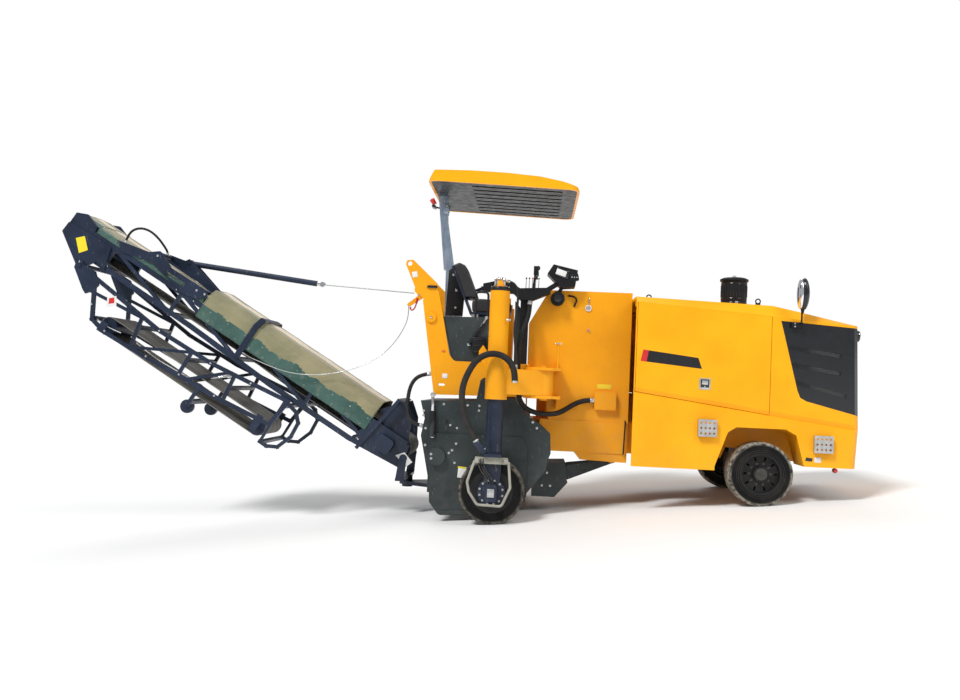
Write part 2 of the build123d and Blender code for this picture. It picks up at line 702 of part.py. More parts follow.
# ---- rear frame with the horned towers ------------------------------------------------------------
tower_shape = [(-1030, 2425), (-960, 2430), (-694, 2188), (-662, 2048), (-630, 1905), (-530, 1430),
               (-477, 1364), (275, 1364), (275, 1014), (-665, 1000), (-830, 2009), (-926, 2124),
               (-1040, 2380)]
with BuildPart() as rear_frame:
    for y in (tower_right + tower_thick, tower_left):
        with BuildSketch(side(y)) as tower:
            outline(tower_shape)
            horn = tower.vertices().filter_by_position(Axis.X, -1050, -950)
            fillet(horn, 22)
            inner = tower.vertices().filter_by_position(Axis.X, -540, -470)
            fillet(inner, 60)
            with Locations((horn_x, horn_z)):
                Circle(horn_hole / 2, mode=Mode.SUBTRACT)
            with Locations((-600, 1108)):
                SlotOverall(70, 24, mode=Mode.SUBTRACT)
        extrude(amount=tower_thick)
    # flange up the back of each tower, and the marker's boss
    for y in (tower_right + tower_thick + 25, tower_left):
        with BuildSketch(side(y)):
            outline(bar((-832, 2000), (-676, 1030), 16))
        extrude(amount=tower_thick + 25)
    with BuildSketch(side(tower_right)):
        with Locations((-740, 1820)):
            Circle(52)
    extrude(amount=22)
    with Locations((-180, (tower_left + tower_right) / 2, deck_height - 12)):
        Box(960, tower_left - tower_right, 24)
    with BuildSketch(side(tower_left)):
        with Locations((-890, stay_anchor_height - 45)):
            Circle(45)
    extrude(amount=tower_left - tower_right)
    with BuildSketch(side(15)):
        outline([(-890, stay_anchor_height - 80), (-890, stay_anchor_height - 10),
                 (slew_x + 20, stay_anchor_height + 25), (slew_x + 20, stay_anchor_height - 25)])
    extrude(amount=30)
    # lug that the safety wire hangs from
    with BuildSketch(side(-426)):
        outline([(-890, stay_anchor_height - 15), (-1066, 1995), (-1066, 1968.3), (-1038, 1968.3),
                 (-880, stay_anchor_height - 80)])
    extrude(amount=20)
finish_piece(rear_frame.part, "rear_frame")

# ---- operator station -----------------------------------------------------------------------------
panel_foot = deck_height + 0.3
with BuildPart() as deck_panels:
    with BuildSketch(side(tower_right + tower_thick + 20)) as panel:
        outline([(-621, 1837), (-505, 1368), (-480, panel_foot), (-92, panel_foot), (-112, 1848)])
    extrude(amount=16)
    with BuildSketch(side(-600)):
        outline([(140, 2058), (292, 1860), (292, panel_foot), (150, panel_foot)])
    extrude(amount=16)
finish_piece(deck_panels.part, "deck_panels")

seat_y = -300.0
seat_width = 460.0
seat_top = 1925.0
with BuildPart() as seat_frame:
    with Locations((-130, seat_y, panel_foot)):
        Box(280, 280, seat_top - 25 - panel_foot, align=base)
    with Locations((-140, seat_y, seat_top - 25)):
        Box(440, seat_width - 40, 25, align=base)
    with BuildSketch(side(seat_y + seat_width / 2 - 20)):
        outline(bar((-352, seat_top - 20), (-570, 2420), 22))
    extrude(amount=seat_width - 40)
    # left arm rest; the console takes the place of the right one
    rest_y = seat_y + seat_width / 2 + 34
    with Locations((-110, rest_y, 2235)):
        Box(330, 60, 50)
    with BuildSketch(side(rest_y + 30)):
        outline(bar((-250, 2240), (-458, 2150), 34))
    extrude(amount=60)
    with Locations((-466, rest_y - 17, 2150)):
        Box(24, 94, 30)
finish_piece(seat_frame.part, "seat_frame")

with BuildPart() as seat_cushions:
    with BuildSketch(side(seat_y + seat_width / 2)):
        outline([(-335, seat_top + 0.3), (85, seat_top + 0.3), (100, 2010), (70, 2060), (-260, 2075), (-340, 2050)])
    extrude(amount=seat_width)
    with BuildSketch(side(seat_y + seat_width / 2)):
        outline([(-415.9, 2085), (-285, 2085), (-430, 2440), (-500, 2470), (-566.2, 2440)])
    extrude(amount=seat_width)
finish_piece(seat_cushions.part, "seat_cushions")

with BuildPart() as console:
    with BuildSketch(side(-590)):
        outline([(-212, 2145), (-212, 2222), (-150, 2236), (-36, 2266), (74, 2270), (150, 2210), (188, 2185),
                 (520, 2203), (520, 2203 - 60), (330, 2060), (195, 2060), (120, 2130)])
    extrude(amount=150)
    # post down to the deck
    with Locations((245, -645, panel_foot)):
        Box(90, 50, 2100 - panel_foot, align=base)
    # head with the screens, on its arm
    with BuildSketch(side(-600)):
        outline(bar((460, 2170), (640, 2290), 50))
    extrude(amount=60)
    with BuildSketch(side(-440)):
        outline([(479, 2363), (541, 2465), (807, 2408), (782, 2230), (629, 2215)])
    extrude(amount=240)
    # lever
    with BuildSketch(Plane(origin=(332, -650, 2180), z_dir=(18, 0, 180))):
        Circle(14)
    extrude(amount=190)
    with Locations((351, -650, 2392)):
        Box(46, 42, 96)
    # horn under the head
    with BuildSketch(side(-560)):
        with Locations((600, 2095)):
            Circle(76)
    extrude(amount=90)
    with BuildSketch(side(-580)):
        outline(bar((600, 2140), (655, 2250), 40))
    extrude(amount=40)
finish_piece(console.part, "console")

# ---- canopy ---------------------------------------------------------------------------------------
canopy_rear = -850.0
canopy_front = 787.0
canopy_low = [(canopy_rear, 3297), (canopy_front, 3235)]
canopy_top = [(765, 3276), (600, 3325), (357, 3371), (0, 3400), (-392, 3414), (-780, 3412), (-835, 3325)]


def canopy_plan(margin):
    """Rounded plan of the canopy, drawn from below, that much smaller on each side."""
    with Locations(((canopy_rear + canopy_front) / 2, 0)):
        RectangleRounded(canopy_front - canopy_rear - 2 * margin, 2 * (canopy_half_width - margin),
                         canopy_corner - margin)


def under(x):
    """Height of the canopy's lower edge at x."""
    (x0, z0), (x1, z1) = canopy_low
    return z0 + (z1 - z0) * (x - x0) / (x1 - x0)


with BuildPart() as canopy_room:
    with BuildSketch(side(canopy_half_width)):
        outline([(canopy_rear, under(canopy_rear) - 30), (canopy_front, under(canopy_front) - 30)]
                + shifted(canopy_top, 0, -canopy_wall))
    extrude(amount=2 * canopy_half_width)
    with BuildSketch(Plane.XY.offset(3000)):
        canopy_plan(canopy_wall)
    extrude(amount=600, mode=Mode.INTERSECT)
with BuildPart() as canopy_roof:
    with BuildSketch(side(canopy_half_width)):
        outline(canopy_low + canopy_top)
    extrude(amount=2 * canopy_half_width)
    with BuildSketch(Plane.XY.offset(3000)):
        canopy_plan(0)
    extrude(amount=600, mode=Mode.INTERSECT)
    add(canopy_room.part, mode=Mode.SUBTRACT)
finish_piece(canopy_roof.part, "canopy_roof")

liner_lift = 6.0
with BuildPart() as canopy_liner:
    with BuildSketch(side(canopy_half_width)):
        outline([(x, under(x) + liner_lift) for x in (canopy_rear, canopy_front)]
                + [(x, under(x) + liner_lift + 16) for x in (canopy_front, canopy_rear)])
    extrude(amount=2 * canopy_half_width)
    with BuildSketch(Plane.XY.offset(3000)):
        canopy_plan(canopy_wall + 0.3)
    extrude(amount=600, mode=Mode.INTERSECT)
    add(canopy_room.part, mode=Mode.INTERSECT)
    with BuildSketch(Plane.XY.offset(3000)):
        for i in range(8):
            with Locations((110, -700 + 200 * i)):
                SlotOverall(1000, 60)
    extrude(amount=600, mode=Mode.SUBTRACT)
    # pad that the mast bolts to
    with Locations((-705, 0, under(-705) + liner_lift + 35)):
        Box(170, 260, 50)
finish_piece(canopy_liner.part, "canopy_liner")

with BuildPart() as canopy_mast:
    with BuildSketch(side(55)):
        outline([(-718, 2440), (-600, 2440), (-698, 3000)]
                + [(x, under(x) + liner_lift - 0.3) for x in (-714, -816)])
        outline([(-695, 2480), (-560, 2480), (-600, 2061), (-478, 1886), (-478, panel_foot),
                 (-640, panel_foot), (-684, 1878)])
    extrude(amount=110)
finish_piece(canopy_mast.part, "canopy_mast")

# ---- conveyor foot --------------------------------------------------------------------------------
with BuildPart() as conveyor_foot:
    with Locations((slew_x, 0, -20)):
        Cylinder(60, 130)
    with Locations((slew_x - 30, 0, 30)):
        Box(100, 2 * frame_y + 84, 30)
    for y in (-frame_y - 32, frame_y + 32):
        with BuildSketch(side(y + 10)):
            outline([(slew_x - 80, 20), (slew_x + 20, 20), (slew_x + 36, lift_height),
                     (slew_x - 46, lift_height)])
            with Locations((slew_x, lift_height)):
                Circle(42)
        extrude(amount=20)
    for y in (-frame_y - 30, frame_y + 30):
        with BuildSketch(side(y + (0 if y > 0 else 40))):
            with Locations((slew_x, lift_height)):
                Circle(pivot_dia / 2)
        extrude(amount=40)
finish_piece(conveyor_foot.part, "conveyor_foot")

flange_x = chamber_rear - 40.0
with BuildPart() as foot_bracket:
    with BuildSketch(Plane.XY.offset(-60)):
        outline([(flange_x, -300), (flange_x, 300), (slew_x, 100), (slew_x - 90, 0), (slew_x, -100)])
        with Locations((slew_x, 0)):
            Circle(60 + hinge_fit, mode=Mode.SUBTRACT)
    extrude(amount=40)
    with Locations((flange_x - 15, 0, 0)):
        Box(30, 600, 120)
finish_piece(foot_bracket.part, "foot_bracket")

# ---- conveyor frame -------------------------------------------------------------------------------
# side frames: lower and upper rails, posts and diagonals as bars (start, end, width)
low_rail = [(60, -96), (680, -155), (1750, -155), (2900, -110), (4330, -105)]
top_rail_height = 150.0
post_places = [1310, 2250, 3190, 4130]
rail_bar = 56.0
post_bar = 40.0
main_bars = [(a, b, rail_bar) for a, b in zip(low_rail, low_rail[1:])]
main_bars += [((120, top_rail_height), (4700, top_rail_height), rail_bar)]
main_bars += [((d, -130), (d, top_rail_height), post_bar) for d in post_places]
main_bars += [((d, top_rail_height), (d - 940, -125), post_bar) for d in post_places]
foot_plate = [(8, -84), (110, -130), (520, -150), (640, -60), (560, top_rail_height), (60, top_rail_height)]
head_plate = [(4420, 130), (4520, -10), (4720, 20), (4745, 110), (4740, 248), (4620, 300), (4440, 240)]
cheek = [(4758, -20), (4748, 111), (4409, 138), (4162, 131), (4088, -123), (4219, -97),
         (fold_point[0] - 46, fold_point[1] - 4), (fold_point[0] - 20, fold_point[1] - 46),
         (fold_point[0] + 30, fold_point[1] - 40)]
ear = [(4154, 247), (3762, 335), (3661, 412), (3600, 400), (3443, 324), (2940, 332), (2912, 265),
       (3017, 178), (3211, 150), (3678, 253), (4037, 157)]
web = [(2925, 288), (2925, 350), (3400, 478), (stay_point[0] + 20, stay_point[1] + 44),
       (stay_point[0] + 50, stay_point[1]), (3700, 400), (3700, 352)]
ear_tubes = [(3661, 378), (2950, 310)]
pulley_height = 70.0
tail_pulley = 150.0
head_pulley = 4600.0
hopper = [(-1180, 250), (-1050, 160), (-990, 230), (-985, 700), (-1060, 900), (-1330, 800)]
frame_in = frame_y - frame_thick / 2
frame_out = frame_y + frame_thick / 2
hopper_y = 358.0
ear_thick = 14.0
with BuildPart() as conveyor_frame:
    for y in (-frame_out, frame_in):
        with BuildSketch(conveyor_side(y)):
            for start, end, width in main_bars:
                outline(bar(start, end, width))
            outline(foot_plate)
            outline(head_plate)
            with Locations(lift_point):
                Circle(44)
                Circle(pivot_dia / 2 + hinge_fit, mode=Mode.SUBTRACT)
        extrude(amount=frame_thick)
    # cheeks that carry the fold hinge's pin
    for y in (-frame_out - cheek_thick, frame_out):
        with BuildSketch(conveyor_side(y)):
            outline(cheek)
        extrude(amount=cheek_thick)
    pin_end = frame_out + cheek_thick + 1 + fold_thick + 12
    with BuildSketch(conveyor_side(-pin_end)):
        with Locations(fold_point):
            Circle(pivot_dia / 2)
    extrude(amount=2 * pin_end)
    # ears, their cross tubes, and the two webs that hold the stay's pin
    for y in (-frame_out - ear_thick, frame_out):
        with BuildSketch(conveyor_side(y)):
            outline(ear)
            with Locations((3330, 240)):
                SlotOverall(260, 50, mode=Mode.SUBTRACT)
        extrude(amount=ear_thick)
    for centre in ear_tubes:
        with BuildSketch(conveyor_side(-frame_out)):
            with Locations(centre):
                Circle(22)
        extrude(amount=2 * frame_out)
    for y in (-52, 38):
        with BuildSketch(conveyor_side(y)):
            outline(web)
        extrude(amount=14)
    with BuildSketch(conveyor_side(-60)):
        with Locations(stay_point):
            Circle(stay_pin_dia / 2)
    extrude(amount=120)
    # cross members, idlers and pulleys
    for d in post_places + [640]:
        with BuildSketch(conveyor_side(-frame_y)):
            with Locations((d, -126)):
                Rectangle(post_bar, post_bar)
            with Locations((d, top_rail_height - 30)):
                Rectangle(post_bar, post_bar)
        extrude(amount=2 * frame_y)
    for d in (tail_pulley, head_pulley):
        with BuildSketch(conveyor_side(-belt_width / 2 - 10)):
            with Locations((d, pulley_height)):
                Circle(pulley_dia / 2 - 0.3)
        extrude(amount=belt_width + 20)
        with BuildSketch(conveyor_side(-frame_in)):
            with Locations((d, pulley_height)):
                Circle(25)
        extrude(amount=2 * frame_in)
    # hopper round the lower end, and the belt's motor beside it
    for y in (hopper_y, -hopper_y + 16):
        with BuildSketch(side(y)):
            outline(hopper)
        extrude(amount=16)
    for y in (-frame_in, hopper_y - 16):
        with BuildSketch(conveyor_side(y)):
            outline(bar((200, 120), (420, 120), 60))
        extrude(amount=frame_in - hopper_y + 16)
    with BuildSketch(conveyor_side(-frame_out - 120)):
        with Locations((300, 20)):
            RectangleRounded(190, 170, 40)
    extrude(amount=120)
    # bar across the upper side at the cover's foot
    for y in (-frame_out - 22, frame_out):
        with BuildSketch(side(y + 22)):
            outline(bar((-1120, 900), (-1560, 372), 40))
        extrude(amount=22)
    with BuildSketch(conveyor_side(-frame_out - 22)):
        with Locations(on_belt(-1120, 900)):
            Rectangle(40, 40)
    extrude(amount=2 * frame_out + 44)
    # strap over the cover
    with BuildSketch(Plane(origin=along(2215), **across)):
        outline([(-452, -100), (-452, 310), (-340, 412), (340, 412), (452, 310), (452, -100)])
        Polygon((-444, -101), (-444, 306), (-337, 402), (337, 402), (444, 306), (444, -101),
                align=None, mode=Mode.SUBTRACT)
    extrude(amount=70)
    for y in (-448, 448):
        with BuildSketch(conveyor_side(min(y, y - y / abs(y) * 20))):
            with Locations((2250, -90)):
                Rectangle(60, 40)
        extrude(amount=20)
finish_piece(conveyor_frame.part, "conveyor_frame")


def belt(d_low, d_high, height, diameter):
    """Endless belt round two pulleys, its middle on the conveyor's own middle."""
    with BuildPart() as loop:
        with BuildSketch(conveyor_side(-belt_width / 2)):
            with Locations(((d_low + d_high) / 2, height)):
                SlotCenterToCenter(d_high - d_low, diameter + 2 * belt_thick)
                SlotCenterToCenter(d_high - d_low, diameter, mode=Mode.SUBTRACT)
        extrude(amount=belt_width)
    return loop.part


finish_piece(belt(tail_pulley, head_pulley, pulley_height, pulley_dia), "conveyor_belt")

# ---- cover over the main belt ----------------------------------------------------------------------
cover_wall = 9.0


def cover_profile(half, foot, eaves, shoulder_y, crown):
    """Half section of the cover, from the middle of its crown down to its foot."""
    return [(0, crown), (shoulder_y, crown - 12), (half, eaves), (half, foot)]


# start, length, half width, foot, eaves, shoulder, crown of the two stretches
cover_runs = [(570, 2338, frame_out + 0.5 + cover_wall, 20, 300, 336, 398),
              (2922, 1492, frame_out - 2, top_rail_height + rail_bar / 2 + 0.4, 240, 330, 286),
              (4420, 280, frame_in - 0.5, 205, 245, 330, 286)]
with BuildPart() as conveyor_cover:
    for start, length, half, foot, eaves, ridge, crown in cover_runs:
        with BuildSketch(Plane(origin=along(start), **across)):
            outer = cover_profile(half, foot, eaves, ridge, crown)
            inner = cover_profile(half - cover_wall, foot - 1, eaves - 5, ridge - 4, crown - cover_wall)
            outline([(-y, z) for y, z in outer[:0:-1]] + outer)
            Polygon(*([(-y, z) for y, z in inner[:0:-1]] + inner), align=None, mode=Mode.SUBTRACT)
        extrude(amount=length)
finish_piece(conveyor_cover.part, "conveyor_cover")

# ---- fold section ---------------------------------------------------------------------------------
fold_top = [(4116, -249), (3147, -342), (2448, -319), (1937, -254), (1467, -190)]
fold_low = [(3880, -660), (3681, -705), (3116, -677), (2681, -636), (2209, -610), (1507, -524)]
fold_bars = [(a, b, 46) for a, b in zip(fold_top, fold_top[1:])]
fold_bars += [(a, b, 46) for a, b in zip(fold_low, fold_low[1:])]
fold_bars += [((4090, -300), (3880, -660), 46), ((3400, -330), (3330, -680), 40), ((2700, -330), (2690, -640), 40),
              ((2140, -280), (2100, -600), 40), ((4050, -400), (3400, -330), 36), ((3330, -680), (2700, -340), 36),
              ((2578, -622), (2218, -300), 36), ((1467, -190), (1507, -524), 46),
              ((1640, -530), (1640, -650), 80), ((3730, -645), (3730, -690), 80)]
fold_plate = [(4400, -200), (4150, -190), (4030, -300), (4060, -400), (4111, -462), (4160, -440),
              (4390, -280)]
fold_pulleys = (1640.0, 3730.0)
fold_belt_height = -645.0
fold_pulley_dia = 190.0
guard = [(1500, -205), (1330, -240), (1240, -330), (1225, -500), (1290, -680), (1400, -740), (1490, -740)]
fold_in = frame_out + cheek_thick + 1
roller_height = -815.0
roller_places = ((2450, -300), (2372, 300))
with BuildPart() as fold_frame:
    for y in (-fold_in - fold_thick, fold_in):
        with BuildSketch(conveyor_side(y)):
            for start, end, width in fold_bars:
                outline(bar(start, end, width))
            outline(fold_plate)
            with Locations(fold_point):
                Circle(50)
                Circle(pivot_dia / 2 + hinge_fit, mode=Mode.SUBTRACT)
            # D-shaped guard at the free end
            for start, end in zip(guard, guard[1:]):
                outline(bar(start, end, 40))
            outline(bar(guard[0], guard[-1], 30))
            # legs of the roller bar
            outline(bar((2411, -600), (2411, roller_height), 40))
        extrude(amount=fold_thick)
    for d, h in ((3880, -640), (3378, -440), (2700, -440), (2120, -440), (1480, -260), (1480, -740)):
        with BuildSketch(conveyor_side(-fold_in)):
            with Locations((d, h)):
                Rectangle(40, 40)
        extrude(amount=2 * fold_in)
    for d in fold_pulleys:
        with BuildSketch(conveyor_side(-belt_width / 2 - 10)):
            with Locations((d, fold_belt_height)):
                Circle(fold_pulley_dia / 2 - 0.3)
        extrude(amount=belt_width + 20)
        with BuildSketch(conveyor_side(-fold_in)):
            with Locations((d, fold_belt_height)):
                Circle(22)
        extrude(amount=2 * fold_in)
    # bar with the two rollers that the section rests on
    with BuildSketch(conveyor_side(-fold_in - 5)):
        with Locations((2411, roller_height)):
            Rectangle(44, 44)
    extrude(amount=2 * fold_in + 10)
    for d, y in roller_places:
        for fork in (-36, 26):
            with BuildSketch(conveyor_side(y + fork)):
                outline(bar((2411, roller_height), (d, roller_height - 92), 34))
            extrude(amount=10)
        with BuildSketch(conveyor_side(y - 40)):
            with Locations((d, roller_height - 92)):
                Circle(12)
        extrude(amount=80)
        with BuildSketch(conveyor_side(y - 22)):
            with Locations((d, roller_height - 92)):
                Circle(78)
        extrude(amount=44)
finish_piece(fold_frame.part, "fold_frame")
finish_piece(belt(fold_pulleys[0], fold_pulleys[1], fold_belt_height, fold_pulley_dia), "fold_belt")

# ---- stay that holds the conveyor up ---------------------------------------------------------------
stay_reach = hypot(stay_clevis_x - stay_x, stay_height - stay_clevis_height)
stay_plane = Plane(origin=(stay_x, 0, stay_height), x_dir=(0, 1, 0),
                   z_dir=(stay_clevis_x - stay_x, 0, stay_clevis_height - stay_height))
with BuildPart() as stay_barrel:
    with BuildSketch(stay_plane.offset(20)):
        Circle(stay_barrel_dia / 2)
    extrude(amount=stay_barrel_length)
    with BuildSketch(side(30)):
        with Locations((stay_x, stay_height)):
            Circle(42)
    extrude(amount=60)
    with BuildSketch(side(40)):
        with Locations((stay_x, stay_height)):
            Circle(stay_pin_dia / 2 + hinge_fit)
    extrude(amount=80, mode=Mode.SUBTRACT)
    with BuildSketch(stay_plane.offset(120)):
        Circle(stay_rod_dia / 2 + hinge_fit)
    extrude(amount=stay_barrel_length, mode=Mode.SUBTRACT)
finish_piece(stay_barrel.part, "stay_barrel")

rod_inside = 660.0
with BuildPart() as stay_rod:
    with BuildSketch(stay_plane.offset(rod_inside)):
        Circle(stay_rod_dia / 2)
    extrude(amount=stay_reach - rod_inside)
    with BuildSketch(side(30)):
        with Locations((stay_clevis_x, stay_clevis_height)):
            Circle(30)
    extrude(amount=60)
finish_piece(stay_rod.part, "stay_rod")

rope_plane = Plane(origin=(stay_clevis_x, 0, stay_clevis_height), x_dir=(0, 1, 0),
                   z_dir=(slew_x - stay_clevis_x, 0, stay_anchor_height - stay_clevis_height))
rope_length = hypot(slew_x - stay_clevis_x, stay_anchor_height - stay_clevis_height)
with BuildPart() as stay_rope:
    with BuildSketch(rope_plane.offset(30)):
        Circle(stay_rope_dia / 2)
    extrude(amount=rope_length - 50)
finish_piece(stay_rope.part, "stay_rope")

# ---- hoses and safety wires ------------------------------------------------------------------------
# name, diameter, route
hoses = [
    ("hose_wheel", 62.0, [(190, -1492, 1160), (188, -1492, 1300), (90, -1492, 1419), (-61, -1492, 1451),
                          (-199, -1492, 1382), (-294, -1492, 1217), (-337, -1492, 1058), (-320, -1492, 869),
                          (-255, -1492, 691), (-165, -1492, 560)]),
    ("hose_bundle", 52.0, [(300, -700, 2059.7), (300, -700, 1945), (268, -782, 1806), (226, -915, 1680),
                           (208, -1016, 1550), (206, -1052, 1400), (210, -1054, 1240), (216, -1052, 1090),
                           (246, -1036, 955), (336, -1000, 878), (460, -945, 846), (600, -860, 846),
                           (690, -762, 874), (770, -682, 926), (860, -620, 978), (962, -580, 1008),
                           (1042.2, -580, 1008)]),
    ("hose_column", 24.0, [(52.8, -1318, 2190), (107, -1318, 2187), (155, -1318, 2152), (180, -1318, 2092),
                           (184, -1318, 1990), (172, -1318, 1860), (160, -1318, 1720), (168, -1314, 1580),
                           (184, -1292, 1468), (194, -1272, 1376), (194, -1272, 1299.3)]),
    ("hose_rear", 40.0, [(-715.3, -872, 1222), (-786.5, -872, 1210.6), (-868, -892, 1175),
                         (-918, -912, 1105), (-942, -926, 1010), (-950, -930, 905), (-945, -930, 805),
                         (-912, -930, 722), (-850.5, -930, 676), (-764.6, -930, 660.1)]),
    ("hose_stay", 26.0, [(-4345.5, -438, 2565.5), (-4316, -438, 2655), (-4262, -420, 2725), (-4186, -370, 2752),
                         (-4112, -304, 2728), (-4050, -240, 2666), (-4000, -185, 2588), (-3962, -150, 2516),
                         (-3956, -142, 2478)]),
    ("wire_right", 9.0, [(-1052, -436, 1968), (-1052, -436, 1852), (-1086, -436, 1740), (-1143, -437, 1632),
                         (-1210, -441, 1533), (-1290, -446, 1445), (-1382, -452, 1370), (-1484, -461, 1308),
                         (-1593, -470, 1258), (-1706, -478, 1217), (-1822, -484, 1187), (-1939, -488, 1165),
                         (-2057, -490, 1153), (-2175, -490, 1150), (-2294, -488, 1158), (-2411, -484, 1178),
                         (-2525, -476, 1209), (-2632, -466, 1246), (-2730, -456, 1283),
                         (-2826, -448.2, 1316.1), (-2911.8, -448.2, 1367.4)]),
]


def bend_radii(points):
    """Radius at each inner point: 0.45 of the shorter run beside it over the tangent of half the turn."""
    radii = []
    for a, b, c in zip(points, points[1:], points[2:]):
        before, after = Vector(b) - Vector(a), Vector(c) - Vector(b)
        turn = radians(before.get_angle(after))
        radii.append(0.45 * min(before.length, after.length) / tan(turn / 2))
    return radii


hose_sides = 10              # few flats, to keep the facets down
for name, diameter, route in hoses:
    radii = bend_radii(route)
    print(name, "tightest bend", round(min(radii)), "of", round(5 * diameter), "wanted")
    with BuildPart() as hose:
        with BuildLine() as middle:
            FilletPolyline(*route, radius=radii)
        with BuildSketch(Plane(origin=route[0], z_dir=Vector(route[1]) - Vector(route[0]))):
            section = RegularPolygon(diameter / 2, hose_sides)
        sweep(path=middle.wires()[0])
    print(name, "length", round(middle.wires()[0].length), "volume over section and length",
          round(hose.part.volume / (section.area * middle.wires()[0].length), 4))
    finish_piece(hose.part, name)

# ---- park and write -------------------------------------------------------------------------------
nose_down = degrees(atan2(leg_lift, wheelbase))
pitch = (Location((wheelbase, 0, axle_height)) * Location((0, 0, 0), (0, nose_down, 0))
         * Location((-wheelbase, 0, -axle_height)))
parked = [piece.moved(pitch) for piece in pieces]
box = Compound(children=parked).bounding_box()
home = Location((-box.center().X, -box.center().Y, 0))
park = home * pitch

os.makedirs("parts", exist_ok=True)
for piece in pieces:
    export_step(piece.moved(park), f"parts/{piece.label}.step")
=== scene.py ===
"""Looks for the cold planer: materials, cover, cushions, hoses and small fittings.

Lengths in the tables are the machine's own millimetres: level, X forward from the rear column,
Y left, Z up. Pieces on the conveyor use (distance up the belt, Y, height square to it). Both end
in metres, in the row frame.
"""

from math import cos, pi, radians, sin

import bmesh
import bpy
from mathutils import Matrix, Vector, noise


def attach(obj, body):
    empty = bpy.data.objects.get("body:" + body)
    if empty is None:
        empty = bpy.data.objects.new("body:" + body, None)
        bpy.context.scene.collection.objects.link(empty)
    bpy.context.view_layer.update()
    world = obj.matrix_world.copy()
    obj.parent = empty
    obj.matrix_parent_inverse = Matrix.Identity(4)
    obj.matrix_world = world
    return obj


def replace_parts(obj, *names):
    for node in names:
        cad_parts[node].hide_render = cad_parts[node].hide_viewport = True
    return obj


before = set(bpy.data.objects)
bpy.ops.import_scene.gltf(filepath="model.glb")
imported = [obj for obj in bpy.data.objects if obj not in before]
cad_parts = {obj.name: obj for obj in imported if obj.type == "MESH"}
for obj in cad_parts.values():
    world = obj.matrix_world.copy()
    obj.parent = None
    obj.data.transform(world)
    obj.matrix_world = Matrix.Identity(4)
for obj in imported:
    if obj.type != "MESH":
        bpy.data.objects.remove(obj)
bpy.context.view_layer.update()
scene = bpy.context.scene

# ---- frames of reference ----
FRONT_X, FRONT_Z = 2750, 330
REAR_X, REAR_Z = 0, 65
# the machine stands nose down, turned about its front axle
NOSE_DOWN = radians(5.504234)
AXLE = Vector((FRONT_X, 0, FRONT_Z))
HOME = Vector((497.495, 269, 0))
MACHINE = (Matrix.Scale(0.001, 4) @ Matrix.Translation(HOME + AXLE)
           @ Matrix.Rotation(NOSE_DOWN, 4, "Y") @ Matrix.Translation(-AXLE))
RISE = radians(30.9)
BELT_START = Vector((-1000, 0, 250))
BELT = MACHINE @ Matrix(((-cos(RISE), 0, sin(RISE), BELT_START.x), (0, 1, 0, 0),
                         (sin(RISE), 0, cos(RISE), BELT_START.z), (0, 0, 0, 1)))
UP = Vector((0, 0, 1))
SIDE = (0, 1, 0)
AHEAD = (1, 0, 0)
RIGHT = (0, -1, 0)


def added(name, data):
    """New object, put in the scene."""
    thing = bpy.data.objects.new(name, data)
    scene.collection.objects.link(thing)
    return thing


# ---- camera ----
EYE = Vector((0.9685, -10.469, 1.367))
TURN, TILT, ROLL = -0.056, 0.041, -0.052
FOCAL_PIXELS = 928
IMAGE_WIDTH = 960
SENSOR = 36
look = Vector((sin(TURN) * cos(TILT), cos(TURN) * cos(TILT), sin(TILT)))
level = Vector((cos(TURN), -sin(TURN), 0))
over = level.cross(look)
right = cos(ROLL) * level + sin(ROLL) * over
top = -sin(ROLL) * level + cos(ROLL) * over
camera = added("camera", bpy.data.cameras.new("camera"))
camera.data.sensor_width = SENSOR
camera.data.lens = FOCAL_PIXELS / IMAGE_WIDTH * SENSOR
camera.data.clip_end = 200
camera.matrix_world = Matrix.Translation(EYE) @ Matrix((right, top, -look)).transposed().to_4x4()
scene.camera = camera


